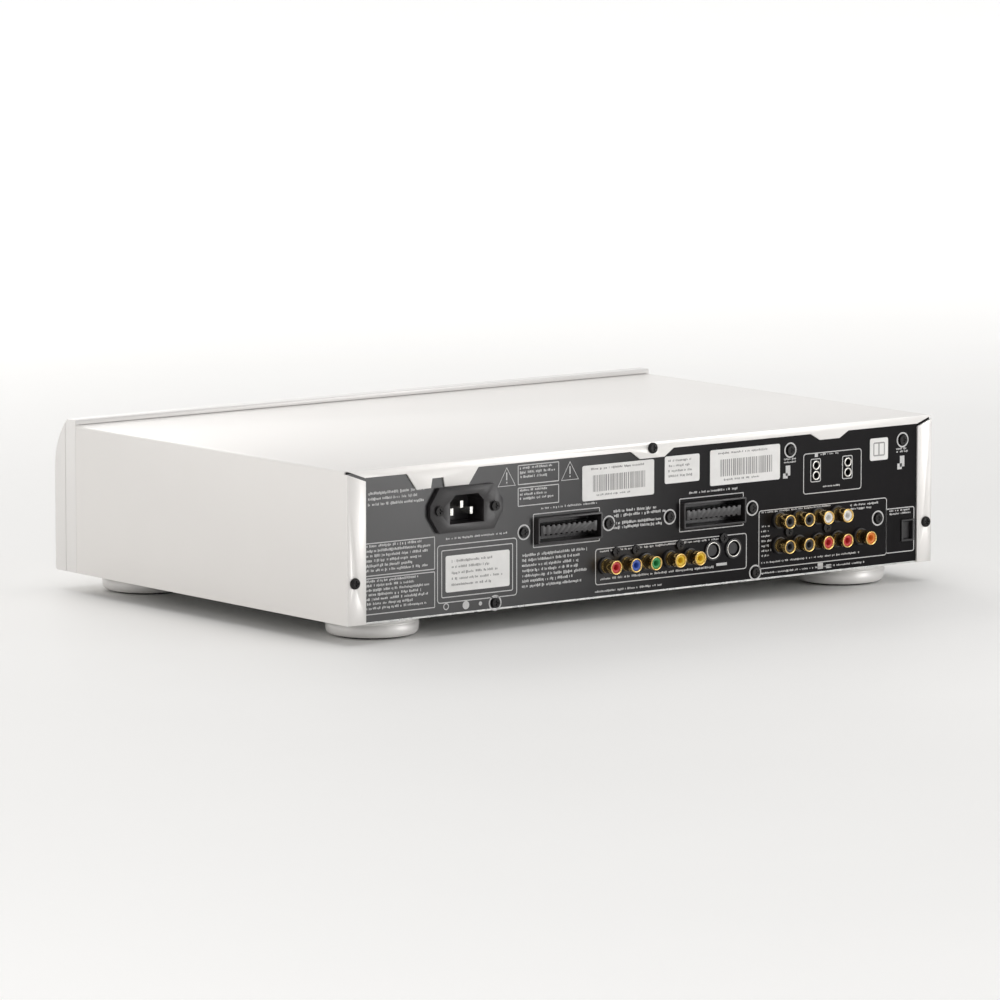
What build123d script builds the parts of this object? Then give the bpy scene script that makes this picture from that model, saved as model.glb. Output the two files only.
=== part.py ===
"""A full-width hi-fi disc player with a motorised drawer, seen as it comes apart on a bench.

Millimetres. +X is the right-hand side from the front, +Y the back and +Z up. The origin is
the middle of the whole model's footprint, on the surface that the feet stand on.
"""
import os
from math import asin, cos, degrees, pi, radians, sin

from build123d import *

# Overall sizes
width = 434.0
body_height = 88.0
foot_height = 12.0
lip_height = 3.0
fascia_depth = 11.0
bezel_depth = 11.0
cover_depth = 269.0
jack_reach = 10.0
sheet = 1.0

# Clearances: between two mouldings, round a turning piece, and how far a cut runs past a face
seam = 0.3
running_gap = 0.05
past = 1.0

# Folded sheet of the case; the vents are X and Y places of whole fields in the pan
pan_wall_height = 14.0
vents_at = ((140.0, 60.0), (-140.0, -40.0))
vent_length = 26.0
vent_width = 2.5
vent_pitch = 8.0
vents_per_row = 8
cover_bend = 1.4
left_flange = 13.0
right_flange = 11.0
top_flange = 4.5
tab_drop = 9.5
short_drop = 4.0
middle_drop = 4.75
tabs = (((42.0, 0.0), (49.0, tab_drop), (59.0, tab_drop), (60.0, short_drop)),
        ((68.0, short_drop), (69.0, tab_drop), (86.0, tab_drop), (93.0, 0.0)),
        ((204.0, 0.0), (211.0, middle_drop), (229.0, middle_drop), (236.0, 0.0)),
        ((340.0, 0.0), (347.0, short_drop), (362.0, short_drop), (369.0, 0.0)))
fold_gap = 1.8
fold_lean = 20.0
cover_screw_height = 24.0
cover_screw_inset = 5.0
top_screw_at = (220.0, 3.5)

# Feet
foot_radius = 27.5
foot_inset_x = 42.5
foot_inset_y = 34.0
foot_lift = 1.0
foot_edge = 3.0
foot_screw_radius = 2.0
foot_screw_seat = 6.0
foot_screw_grip = 3.0
pad_radius = 21.0
pad_seat = 2.0
pad_hole_radius = 5.0

# Screws in the rear panel and the cover
screw_head_radius = 3.2
screw_head_height = 1.8
screw_shank_radius = 1.5
screw_length = 8.0
panel_screw_radius = 1.2
panel_screw_head = 2.8
panel_screw_height = 1.4
panel_screw_length = 6.0
driver_slot = 0.8
panel_play = 0.25

# Front mouldings
front_wall = 3.0
side_wall = 2.5
crest_setback = 13.0
slant_start = 0.67
toe_radius = 2.0
opening_gap = 0.6
window_half = 78.0
window_low = 24.0
window_high = 46.0
window_thickness = 2.5
window_rebate = 2.0
display_half = 68.0
button_row_z = 35.0
button_play = 0.35
button_travel = 1.5
button_flange = 1.2
button_round = 0.8
button_stem = 8.0
stem_radius = 2.0
switch_half = 3.0
key_board_half = 15.0
key_pad_margin = 3.5
plate_posts = (-0.87, -0.44, 0.44, 0.87)
plate_post_drop = 8.0
switch_depth = 3.5
board_thickness = 1.6
ribbon_x = (-158.0, -132.0)
ribbon_thickness = 0.4
ribbon_margin = 2.0

# Drawer
disc_radius = 60.0
disc_play = 0.75
small_disc_radius = 40.6
small_disc_step = 1.0
finger_radius = 12.0
tray_thickness = 7.5
tray_floor = 2.5
tray_rim = 6.0
tray_top_z = 69.0
tray_front_wall = 5.0
tray_tail = 54.0
tray_gap = 0.3
tray_slot_width = 46.0
cap_height = 16.0
cap_overhang = 3.25
cap_depth = 6.0
cap_skin = 2.5
cap_skirt = 6.0

# Gear train that drives the drawer
gear_module = 1.0
tray_gear_teeth = 24
pinion_teeth = 12
gear_height = 4.0
tooth_share = 0.19
root_flare = 0.08
tip_taper = 0.10
rack_inset = 9.75
rack_rib = 2.6
rack_lead = 16.0
rack_end_gap = 4.0
rack_first_tooth = -4
train_setback = 34.5
pulley_radius = 12.0
motor_pulley_radius = 3.0
pulley_height = 2.6
pulley_lift = 0.4
belt_thickness = 1.0
belt_height = 1.8
belt_centres = 40.0
axle_radius = 1.5
hub_radius = 4.0
shaft_radius = 1.0

# Loader frame; the drops are below the drawer's underside
shelf_drop = 7.5
hinge_drop = 11.5
beam_drop = 17.5
beam_ledge = 4.75
beam_reach = 11.25
lip_gap = 0.4
lip_width = 2.0
leg_radius = 4.0
loader_tail = 24.0
bridge_bar = 16.0
loading_motor_radius = 8.0
loading_motor_height = 18.0

# Traverse deck with the spindle and the pickup
deck_thickness = 1.2
deck_width = 84.0
deck_lead = 26.0
deck_tilt = 5.0
hinge_inset = 5.0
hinge_pin_radius = 2.0
ear_width = 5.0
corner_radius = 3.0
turntable_radius = 14.0
turntable_height = 4.5
centring_radius = 7.4
centring_height = 1.2
spindle_radius = 1.5
motor_radius = 12.0
motor_depth = 11.0
lens_start = 24.0
lens_radius = 3.5
sled_ahead = 10.0
sled_behind = 18.0
sled_travel = 36.0
sled_half = 19.0
sled_window_half = 24.0
wing_half = 2.5
nut_reach = (2.0, 6.0)
rod_radius = 1.5
rod_spread = 27.0
rod_drop = 5.4
rod_clamp = 3.5
screw_radius = 1.5
screw_offset = 9.5
sled_motor_radius = 4.8
sled_motor_overlap = 11.4

# Slider that lifts the deck; its heights are from the hinge's axis
slider_x = (-42.0, 40.0)
slider_below = 17.0
slider_above = 3.0
slider_thickness = 1.0
slider_gap = 1.4
web_thickness = 2.0
cam_travel = 20.0
cam_pins_x = (-16.0, 36.0)
cam_pin_radius = 1.5
cam_slot_play = 0.5

# Disc clamp
bridge_rise = 4.0
bridge_thickness = 1.2
bridge_half_depth = 17.0
clamper_radius = 15.0
clamper_hub = 9.5
clamper_cap_radius = 13.0
clamper_cap_height = 1.4
clamper_gap = 0.3

# Circuit boards and what stands on them; places are from the power board's front inner corner
board_height = 9.0
board_edge_gap = 11.0
board_beam_gap = 14.0
power_board_ends = (32.5, 43.5)
main_board_ends = (22.5, 10.0)
output_board_x = (-195.0, 50.0)
output_board_gap = 12.0
standoff_radius = 3.0
standoff_inset = 5.0
chip_height = 1.8
chips_at = ((-150.0, -30.0, 28.0), (-120.0, 10.0, 14.0), (-175.0, 15.0, 14.0), (-150.0, -70.0, 10.0))
core_size = (50.0, 42.0, 36.0)
coil_size = (38.0, 54.0, 24.0)
transformer_at = (58.0, 127.0)
cans_at = ((20.0, 76.0, 9.0, 26.0), (42.0, 72.0, 9.0, 26.0), (20.0, 52.0, 6.5, 20.0),
           (38.0, 46.0, 6.5, 20.0), (54.0, 48.0, 5.0, 14.0))
sink_at = (88.0, 36.0)
sink_height = 40.0
sink_back = 4.0
fin_count = 7
fin_pitch = 9.0
fin_thickness = 2.0
fin_reach = 12.0

# Rear sockets: distances are from the left edge seen from behind, and from the pan's underside
jack_radius = 4.15
jack_tail_radius = 3.4
jack_hole = 1.6
jack_pitch = 14.8
jack_body = 12.0
jack_tail = 10.0
collar_radius = 5.0
collar_reach = 1.5
video_jacks_at = (186.0, 18.5)
composite_jacks_at = (233.8, 18.5)
svideo_at = (266.0, 20.5)
svideo_pitch = 15.5
svideo_radius = 5.9
svideo_depth = 8.0
audio_jacks_at = (316.5, 34.3)
audio_row_drop = 14.9
coax_at = 379.0
av_sockets_at = (157.5, 265.0)
av_socket_height = 43.0
av_width = 47.0
av_height = 15.4
av_reach = 4.0
av_wall = 1.1
av_depth = 8.0
av_tongue_width = 41.0
av_tongue_height = 6.0
av_tongue_setback = 1.5
av_contacts = 10
contact_pitch = 3.8
contact_width = 1.6
av_screw_spread = 62.2
inlet_at = (83.5, 60.5)
inlet_width = 52.0
inlet_height = 26.0
inlet_tip = 6.5
inlet_reach = 2.5
inlet_body_width = 27.4
inlet_body_height = 19.6
inlet_body_depth = 20.0
inlet_mouth_width = 24.2
inlet_mouth_height = 16.4
inlet_mouth_depth = 15.0
inlet_mouth_corner = 4.0
inlet_screw_spread = 40.0
pin_spread = 7.0
pin_drop = 2.0
pin_width = 2.0
pin_height = 4.0
pin_setback = 5.0
remote_at = (344.5, 369.0)
remote_heights = (64.6, 58.5)
remote_radius = 1.8
remote_wall = 1.2
remote_body = (8.0, 13.0)
remote_depth = 12.0
optical_at = (416.0, 20.0)
optical_width = 9.6
optical_height = 13.0
optical_wall = 1.0
optical_depth = 13.0
optical_reach = 0.8
shutter_gap = 0.15
shutter_recess = 2.0
shutter_thickness = 1.0
shutter_pin_radius = 0.4
board_screws = [(193.8, 26.0), (208.3, 26.0), (241.2, 26.0), (274.0, 27.3), (323.5, 26.9), (353.0, 26.9),
                (393.0, 29.0), (105.6, 4.0), (298.5, 4.7), (325.0, 75.0), (412.0, 74.5)]
label_thickness = 0.2
labels_at = (((195.5, 67.5), (53.0, 20.5)), ((243.0, 70.5), (26.0, 16.0)), ((290.5, 69.0), (53.0, 21.0)),
             ((93.0, 23.5), (46.0, 21.0)))

# Heights and Y planes that follow from the sizes
base_z = foot_height
top_z = base_z + body_height
crest_z = top_z + lip_height
floor_z = base_z + sheet
total_depth = fascia_depth + bezel_depth + cover_depth + jack_reach
front_y = -total_depth / 2
bezel_y = front_y + fascia_depth
seam_y = bezel_y + bezel_depth
rear_y = seam_y + cover_depth
panel_y = rear_y - sheet
inner_y = panel_y - sheet
side_x = width / 2
inner_x = side_x - sheet
slant_z = base_z + slant_start * (crest_z - base_z)
window_back = front_y + front_wall + window_thickness
stem_end = front_y + button_stem
switch_y = stem_end + button_travel + seam
board_y = switch_y + switch_depth
board_back = board_y + board_thickness

# The drawer, its rack and its gears
tray_low_z = tray_top_z - tray_thickness
recess_z = tray_low_z + tray_floor
recess_radius = disc_radius + disc_play
tray_half = recess_radius + tray_rim
tray_front = front_y + cap_depth
disc_y = tray_front + tray_front_wall + recess_radius
tray_back = disc_y + recess_radius + tray_tail
cap_half = tray_half + cap_overhang
cap_low = tray_low_z - cap_skirt
cap_high = cap_low + cap_height
tooth_pitch = pi * gear_module
addendum = 0.95 * gear_module
dedendum = 1.25 * gear_module
rack_pitch_x = rack_inset - tray_half
rack_back_x = rack_pitch_x - dedendum
rack_low_z = tray_low_z - gear_height - 2 * seam
train_y = front_y + train_setback
tray_gear_x = rack_pitch_x + gear_module * tray_gear_teeth / 2
pulley_x = tray_gear_x + gear_module * (tray_gear_teeth + pinion_teeth) / 2
motor_x = pulley_x + belt_centres
shelf_z = tray_low_z - shelf_drop
pulley_low = shelf_z + pulley_lift
pulley_high = pulley_low + pulley_height
gear_top = pulley_high + gear_height - pulley_lift

# The loader frame, the deck inside it and the boards round it
beam_inner = tray_half - beam_ledge
beam_outer = tray_half + beam_reach
beam_low = tray_low_z - beam_drop
beam_high = tray_low_z - tray_gap
loader_front = seam_y + sheet + 5 * seam
loader_back = tray_back + loader_tail
hinge_y = tray_back - hinge_inset
hinge_z = tray_low_z - hinge_drop
deck_front = disc_y - deck_lead
deck_z = hinge_z - deck_thickness / 2
deck_top = deck_z + deck_thickness
deck_half = deck_width / 2
deck_drop = (hinge_y - deck_front) * sin(radians(deck_tilt))
slider_y = deck_front - slider_gap
slider_low = hinge_z - slider_below
slider_high = hinge_z + slider_above
web_y = slider_y - slider_thickness - 2 * seam
lens_y = disc_y + lens_start
sled_front = lens_y - sled_ahead
sled_back = lens_y + sled_behind
rod_z = deck_z - rod_drop
rods_back = sled_back + sled_travel + 2 * leg_radius
screw_x = rod_spread + screw_offset
sled_motor_front = sled_back + sled_travel - sled_motor_overlap
motor_low = deck_z - motor_depth
turntable_low = tray_low_z - 0.5
turntable_top = turntable_low + turntable_height
bridge_low = tray_top_z + bridge_rise
board_z = floor_z + board_height
power_top = board_z + board_thickness
board_x = (beam_outer + board_beam_gap, inner_x - board_edge_gap)
output_board_z = base_z + video_jacks_at[1] - jack_body / 2 - board_thickness
boards = {
    "power_board": (board_x, (seam_y + power_board_ends[0], panel_y - power_board_ends[1]), board_z),
    "main_board": ((-board_x[1], -board_x[0]),
                   (seam_y + main_board_ends[0], loader_back - main_board_ends[1]), board_z),
    "output_board": (output_board_x, (loader_back + output_board_gap, inner_y - sheet), output_board_z),
}
buttons = {
    "power_button": (-176.0, button_row_z, 9.0),
    "open_close_button": (cap_half + 30.0, cap_low + cap_height / 2, 5.0),
    "stop_button": (130.0, button_row_z, 5.5),
    "play_button": (156.0, button_row_z, 8.5),
    "skip_back_button": (180.0, button_row_z, 5.5),
    "skip_forward_button": (198.0, button_row_z, 5.5),
}

# The sockets' places on the rear panel
video_jacks = [(video_jacks_at[0] + jack_pitch * i, video_jacks_at[1]) for i in range(3)]
video_jacks += [(composite_jacks_at[0] + jack_pitch * i, composite_jacks_at[1]) for i in range(2)]
audio_jacks = [(audio_jacks_at[0] + jack_pitch * i, audio_jacks_at[1] - audio_row_drop * row)
               for row in range(2) for i in range(4)]
audio_jacks.append((coax_at, audio_jacks_at[1] - audio_row_drop))
phono_jacks = video_jacks + audio_jacks
svideo_sockets = [(svideo_at[0] + svideo_pitch * i, svideo_at[1]) for i in range(2)]
remote_jacks = [(across, up) for across in remote_at for up in remote_heights]
av_centres = [(across, av_socket_height) for across in av_sockets_at]
inlet_screws = [(inlet_at[0] + side * inlet_screw_spread / 2, inlet_at[1]) for side in (-1, 1)]
av_screws = [(across + side * av_screw_spread / 2, av_socket_height)
             for across in av_sockets_at for side in (-1, 1)]
cover_screws_at = ((cover_screw_inset, cover_screw_height),
                   (width - cover_screw_inset + 0.5, cover_screw_height),
                   (top_screw_at[0], body_height - top_screw_at[1]))


def rear_point(from_left, height):
    """The X and Z of a place on the rear panel, from its two distances."""
    return (side_x - from_left, base_z + height)


def block(x_span, y_span, z_span, mode=Mode.ADD):
    """A box between two X, two Y and two Z values."""
    spans = (x_span, y_span, z_span)
    with Locations([tuple((low + high) / 2 for low, high in spans)]):
        Box(*(abs(high - low) for low, high in spans), mode=mode)


def post(x, y, z_span, radius, mode=Mode.ADD):
    """An upright round bar between two Z values."""
    with Locations([(x, y, sum(z_span) / 2)]):
        Cylinder(radius, abs(z_span[1] - z_span[0]), mode=mode)


def barrel(x, y_span, z, radius, mode=Mode.ADD):
    """A round bar along Y between two Y values."""
    with Locations([(x, sum(y_span) / 2, z)]):
        Cylinder(radius, abs(y_span[1] - y_span[0]), rotation=(90, 0, 0), mode=mode)


def bar(x_span, y, z, radius, mode=Mode.ADD):
    """A round bar along X between two X values."""
    with Locations([(sum(x_span) / 2, y, z)]):
        Cylinder(radius, abs(x_span[1] - x_span[0]), rotation=(0, 90, 0), mode=mode)


def save(built, label):
    """Name a finished piece and write it as its own file."""
    built.part.label = label
    export_step(built.part, f"parts/{label}.step")


os.makedirs("parts", exist_ok=True)

# --- Casing -----------------------------------------------------------------------------------
foot_x = side_x - foot_inset_x
foot_ys = (front_y + foot_inset_y, rear_y - foot_inset_y)
foot_places = [(x, y) for x in (-foot_x, foot_x) for y in foot_ys]

with BuildPart() as chassis_pan:
    pan_x = inner_x - seam
    block((-pan_x, pan_x), (seam_y + sheet, panel_y), (base_z, floor_z))
    for side in (-1, 1):
        wall = sorted((side * pan_x, side * (pan_x - sheet)))
        block(wall, (seam_y + sheet, inner_y), (floor_z, floor_z + pan_wall_height))
    for x, y in foot_places:
        post(x, y, (base_z, floor_z), foot_screw_radius + running_gap, Mode.SUBTRACT)
    with Locations(*((x, y, base_z + sheet / 2) for x, y in vents_at)):
        with GridLocations(vent_pitch, vent_length + vent_pitch, vents_per_row, 2):
            Box(vent_width, vent_length, sheet * 2, mode=Mode.SUBTRACT)
save(chassis_pan, "chassis_pan")

# The folded edge of the cover laps the rear panel: two side flanges, a top one and its tabs

with BuildPart() as top_cover:
    block((-side_x, side_x), (seam_y, rear_y), (base_z, top_z))
    fillet(top_cover.edges().filter_by(Axis.Y).group_by(Axis.Z)[-1], radius=cover_bend)
    block((-inner_x, inner_x), (seam_y - sheet, panel_y), (base_z - sheet, top_z - sheet), Mode.SUBTRACT)
    with BuildSketch(Plane.XZ.offset(-rear_y)) as window:
        with BuildLine():
            under_top = body_height - top_flange
            edge = [(left_flange, -past), (left_flange, under_top)]
            edge += [(across, under_top - drop) for tab in tabs for across, drop in tab]
            edge += [(width - right_flange, under_top), (width - right_flange, -past)]
            Polyline(*[rear_point(across, up) for across, up in edge], close=True)
        make_face()
    extrude(amount=sheet, mode=Mode.SUBTRACT)
    for side, flange in ((1, left_flange), (-1, right_flange)):
        with Locations((side * (side_x - flange / 2), panel_y, top_z - top_flange / 2 - sheet)):
            Box(flange + short_drop, sheet * 4, fold_gap, rotation=(0, -side * fold_lean, 0),
                mode=Mode.SUBTRACT)
    for across, up in cover_screws_at:
        x, z = rear_point(across, up)
        barrel(x, (inner_y, rear_y + sheet), z, screw_shank_radius, Mode.SUBTRACT)
save(top_cover, "top_cover")

with BuildPart() as feet:
    for x, y in foot_places:
        post(x, y, (foot_lift, base_z), foot_radius)
    fillet(feet.edges().filter_by(GeomType.CIRCLE).group_by(Axis.Z)[0], radius=foot_edge)
    for x, y in foot_places:
        post(x, y, (foot_lift, foot_lift + pad_seat), pad_radius, Mode.SUBTRACT)
        post(x, y, (0, base_z + past), foot_screw_radius, Mode.SUBTRACT)
        post(x, y, (0, foot_screw_seat), foot_screw_radius * 2 + panel_play, Mode.SUBTRACT)
save(feet, "feet")

with BuildPart() as foot_pads:
    for x, y in foot_places:
        post(x, y, (0, foot_lift + pad_seat), pad_radius - running_gap)
        post(x, y, (0, foot_lift + pad_seat + past), pad_hole_radius, Mode.SUBTRACT)
save(foot_pads, "foot_pads")

with BuildPart() as foot_screws:
    for x, y in foot_places:
        post(x, y, (foot_screw_seat - foot_screw_radius, foot_screw_seat), foot_screw_radius * 2)
        post(x, y, (foot_screw_seat, floor_z + foot_screw_grip), foot_screw_radius)
save(foot_screws, "foot_screws")

# --- Front mouldings --------------------------------------------------------------------------


def front_shell(half_width, wall, back_y, mode=Mode.ADD):
    """The front moulding's full section, carried across the width, out to back_y."""
    with BuildSketch(Plane.YZ) as section:
        with BuildLine():
            toe = Line((back_y, base_z + wall), (front_y + toe_radius + wall, base_z + wall))
            low = RadiusArc(toe @ 1, (front_y + wall, base_z + toe_radius + wall), toe_radius)
            face = Line(low @ 1, (front_y + wall, slant_z))
            slant = TangentArc(face @ 1, (front_y + crest_setback, crest_z - wall), tangent=(0, 1))
            crest = Line(slant @ 1, (back_y, crest_z - wall))
            Line(crest @ 1, toe @ 0)
        make_face()
    extrude(section.sketch, amount=half_width, both=True, mode=mode)


def front_slice(near_y, far_y):
    """The slice of the hollow front moulding between two Y planes."""
    front_shell(side_x, 0.0, seam_y)
    front_shell(side_x - side_wall, front_wall, seam_y + past, Mode.SUBTRACT)
    block((-side_x, side_x), (near_y, far_y), (0, crest_z + past), Mode.INTERSECT)


with BuildPart() as front_fascia:
    front_slice(front_y, bezel_y - seam / 2)
    block((-cap_half - opening_gap, cap_half + opening_gap), (front_y - past, bezel_y),
          (cap_low - opening_gap, cap_high + opening_gap), Mode.SUBTRACT)
    block((-window_half, window_half), (front_y - past, bezel_y), (window_low, window_high),
          Mode.SUBTRACT)
    for x, z, radius in buttons.values():
        barrel(x, (front_y - past, front_y + front_wall + past), z, radius + button_play, Mode.SUBTRACT)
save(front_fascia, "front_fascia")

with BuildPart() as bezel_frame:
    front_slice(bezel_y + seam / 2, seam_y - seam)
save(bezel_frame, "bezel_frame")

with BuildPart() as display_window:
    block((-window_half + running_gap, window_half - running_gap), (front_y + seam, front_y + front_wall),
          (window_low + running_gap, window_high - running_gap))
    block((-window_half - window_rebate, window_half + window_rebate), (front_y + front_wall, window_back),
          (window_low - window_rebate, window_high + window_rebate))
save(display_window, "display_window")

for name, (x, z, radius) in buttons.items():
    with BuildPart() as button:
        flange_y = front_y + front_wall + seam
        barrel(x, (front_y, flange_y), z, radius)
        fillet(button.edges().filter_by(GeomType.CIRCLE).group_by(Axis.Y)[0], radius=button_round)
        barrel(x, (flange_y, flange_y + button_flange), z, radius + button_flange)
        barrel(x, (flange_y + button_flange, stem_end), z, stem_radius)
    save(button, name)

with BuildPart() as front_board:
    block((-board_x[1], board_x[1]), (board_y, board_back),
          (button_row_z - key_board_half, button_row_z + key_board_half))
    for x, z, radius in buttons.values():
        pad = radius + key_pad_margin
        block((x - pad, x + pad), (board_y, board_back), (min(z - pad, button_row_z), z + pad))
        block((x - switch_half, x + switch_half), (switch_y, board_y), (z - switch_half, z + switch_half))
save(front_board, "front_board")

with BuildPart() as display_module:
    block((-display_half, display_half), (window_back + seam, board_y),
          (window_low + window_rebate, window_high - window_rebate))
save(display_module, "display_module")

ribbon_z = power_top + ribbon_thickness / 2
with BuildPart() as sub_panel:
    block((-inner_x + 1, inner_x - 1), (seam_y, seam_y + sheet), (floor_z, top_z - sheet - 1))
    block((-cap_half - past, cap_half + past), (seam_y - past, seam_y + sheet + past),
          (cap_low - ribbon_margin, cap_high + ribbon_margin), Mode.SUBTRACT)
    block((ribbon_x[0] - ribbon_margin, ribbon_x[1] + ribbon_margin),
          (seam_y - past, seam_y + sheet + past),
          (ribbon_z - ribbon_margin, ribbon_z + ribbon_margin), Mode.SUBTRACT)
    for share in plate_posts:
        barrel(share * side_x, (board_back, seam_y), button_row_z - plate_post_drop, standoff_radius)
    barrel(buttons["open_close_button"][0], (board_back, seam_y),
           buttons["open_close_button"][1], standoff_radius)
save(sub_panel, "sub_panel")

# --- Rear panel and its sockets ---------------------------------------------------------------
def rear_block(centre, size_x, size_z, y_span, mode=Mode.ADD):
    """A box behind or in front of one place on the rear panel."""
    x, z = rear_point(*centre)
    block((x - size_x / 2, x + size_x / 2), y_span, (z - size_z / 2, z + size_z / 2), mode)


def rear_barrels(places, radius, y_span, mode=Mode.ADD):
    """Round bars along Y at a list of places on the rear panel."""
    for across, up in places:
        x, z = rear_point(across, up)
        barrel(x, y_span, z, radius, mode)


with BuildPart() as rear_panel:
    block((-pan_x, pan_x), (inner_y, panel_y), (floor_z, top_z - sheet - seam))
    through = (inner_y - past, panel_y + past)
    rear_barrels(video_jacks + audio_jacks, collar_radius + panel_play, through, Mode.SUBTRACT)
    rear_barrels(svideo_sockets, svideo_radius + panel_play, through, Mode.SUBTRACT)
    rear_barrels(remote_jacks, remote_radius + remote_wall + panel_play, through, Mode.SUBTRACT)
    rear_barrels(inlet_screws + av_screws + board_screws, panel_screw_radius, through, Mode.SUBTRACT)
    rear_barrels(cover_screws_at, screw_shank_radius, through, Mode.SUBTRACT)
    for place in av_centres:
        rear_block(place, av_width + 2 * panel_play, av_height + 2 * panel_play, through, Mode.SUBTRACT)
    rear_block(inlet_at, inlet_body_width + 2 * panel_play, inlet_body_height + 2 * panel_play,
               through, Mode.SUBTRACT)
    rear_block(optical_at, optical_width + 2 * panel_play, optical_height + 2 * panel_play,
               through, Mode.SUBTRACT)
save(rear_panel, "rear_panel")

with BuildPart() as cover_screws:
    rear_barrels(cover_screws_at, screw_shank_radius - running_gap, (rear_y - screw_length, rear_y))
    rear_barrels(cover_screws_at, screw_head_radius, (rear_y, rear_y + screw_head_height))
    heads = cover_screws.edges().filter_by(GeomType.CIRCLE).group_by(Axis.Y)[-1]
    fillet(heads, radius=screw_head_height * 2 / 3)
    for place in cover_screws_at:
        slot_y = (rear_y + screw_head_height / 2, rear_y + screw_head_height + past)
        rear_block(place, screw_head_radius + driver_slot / 2, driver_slot, slot_y, Mode.SUBTRACT)
        rear_block(place, driver_slot, screw_head_radius + driver_slot / 2, slot_y, Mode.SUBTRACT)
save(cover_screws, "cover_screws")

screw_seats = [(place, panel_y) for place in av_screws + board_screws]
screw_seats += [(place, panel_y + inlet_reach) for place in inlet_screws]
with BuildPart() as panel_screws:
    for place, seat_y in screw_seats:
        rear_barrels([place], panel_screw_radius - running_gap, (panel_y - panel_screw_length, seat_y))
        rear_barrels([place], panel_screw_head, (seat_y, seat_y + panel_screw_height))
        slot_y = (seat_y + panel_screw_height / 2, seat_y + panel_screw_height + past)
        rear_block(place, panel_screw_head + seam, driver_slot, slot_y, Mode.SUBTRACT)
        rear_block(place, driver_slot, panel_screw_head + seam, slot_y, Mode.SUBTRACT)
save(panel_screws, "panel_screws")

with BuildPart() as mains_inlet:
    x, z = rear_point(*inlet_at)
    with BuildSketch(Plane.XZ.offset(-panel_y)) as flange:
        with Locations((x, z)):
            half = inlet_width / 2
            shoulder = half - inlet_tip
            rise = inlet_height / 2
            Polygon((-half, -inlet_tip / 2), (-half, inlet_tip / 2), (-shoulder, rise), (shoulder, rise),
                    (half, inlet_tip / 2), (half, -inlet_tip / 2), (shoulder, -rise), (-shoulder, -rise))
    extrude(amount=-inlet_reach)
    rear_block(inlet_at, inlet_body_width, inlet_body_height, (panel_y - inlet_body_depth, panel_y))
    with BuildSketch(Plane.XZ.offset(-panel_y - inlet_reach)) as mouth:
        with Locations((x, z)):
            half = inlet_mouth_width / 2
            rise = inlet_mouth_height / 2
            corner = inlet_mouth_corner
            Polygon((-half, -rise), (half, -rise), (half, rise - corner), (half - corner, rise),
                    (corner - half, rise), (-half, rise - corner))
    extrude(amount=inlet_mouth_depth, mode=Mode.SUBTRACT)
    rear_barrels(inlet_screws, panel_screw_radius, (panel_y - past, rear_y + inlet_reach), Mode.SUBTRACT)
save(mains_inlet, "mains_inlet")

inlet_floor_y = panel_y + inlet_reach - inlet_mouth_depth
with BuildPart() as inlet_pins:
    for sideways, raised in ((-pin_spread, -pin_drop), (0.0, pin_drop), (pin_spread, -pin_drop)):
        rear_block((inlet_at[0] + sideways, inlet_at[1] + raised), pin_width, pin_height,
                   (inlet_floor_y, panel_y + inlet_reach - pin_setback))
save(inlet_pins, "inlet_pins")

av_floor_y = panel_y - av_depth
with BuildPart() as av_sockets:
    for place in av_centres:
        rear_block(place, av_width, av_height, (av_floor_y - av_reach, panel_y + av_reach))
    fillet(av_sockets.edges().filter_by(Axis.Y), radius=av_wall)
    for place in av_centres:
        rear_block(place, av_width - 2 * av_wall, av_height - 2 * av_wall,
                   (av_floor_y, panel_y + av_reach + past), Mode.SUBTRACT)
        rear_block(place, av_tongue_width, av_tongue_height,
                   (av_floor_y, panel_y + av_reach - av_tongue_setback))
        x, z = rear_point(*place)
        for side in (-1, 1):
            with Locations((x, panel_y, z + side * av_tongue_height / 2)):
                with GridLocations(contact_pitch, contact_pitch, av_contacts, 1):
                    Box(contact_width, 2 * av_reach, contact_width, mode=Mode.SUBTRACT)
save(av_sockets, "av_sockets")

jack_tail_y = inner_y - jack_tail
with BuildPart() as jack_blocks:
    rear_barrels(phono_jacks, collar_radius, (inner_y - past, panel_y + collar_reach))
    for place in phono_jacks:
        rear_block(place, jack_body, jack_body, (inner_y - jack_body, inner_y))
    rear_barrels(phono_jacks, jack_tail_radius, (jack_tail_y, panel_y + collar_reach), Mode.SUBTRACT)
save(jack_blocks, "jack_blocks")

with BuildPart() as jack_barrels:
    rear_barrels(phono_jacks, jack_radius, (panel_y + collar_reach, rear_y + jack_reach))
    rear_barrels(phono_jacks, jack_tail_radius, (jack_tail_y, panel_y + collar_reach))
    chamfer(jack_barrels.edges().filter_by(GeomType.CIRCLE).group_by(Axis.Y)[-1], length=seam)
    rear_barrels(phono_jacks, jack_hole, (jack_tail_y + past, rear_y + jack_reach + past), Mode.SUBTRACT)
save(jack_barrels, "jack_barrels")

with BuildPart() as svideo:
    svideo_floor_y = panel_y - svideo_depth
    rear_barrels(svideo_sockets, svideo_radius, (svideo_floor_y - av_depth, panel_y + sheet))
    rear_barrels(svideo_sockets, svideo_radius - av_wall, (svideo_floor_y, rear_y + past), Mode.SUBTRACT)
    rear_barrels(svideo_sockets, jack_tail_radius, (svideo_floor_y, panel_y))
save(svideo, "svideo_sockets")

with BuildPart() as remote:
    rear_barrels(remote_jacks, remote_radius + remote_wall, (inner_y - past, panel_y + 2 * seam))
    for across in remote_at:
        centre = (across, sum(remote_heights) / 2)
        rear_block(centre, *remote_body, (inner_y - remote_depth - sheet, inner_y))
    rear_barrels(remote_jacks, remote_radius, (inner_y - remote_depth, rear_y + past), Mode.SUBTRACT)
save(remote, "remote_jacks")

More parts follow.
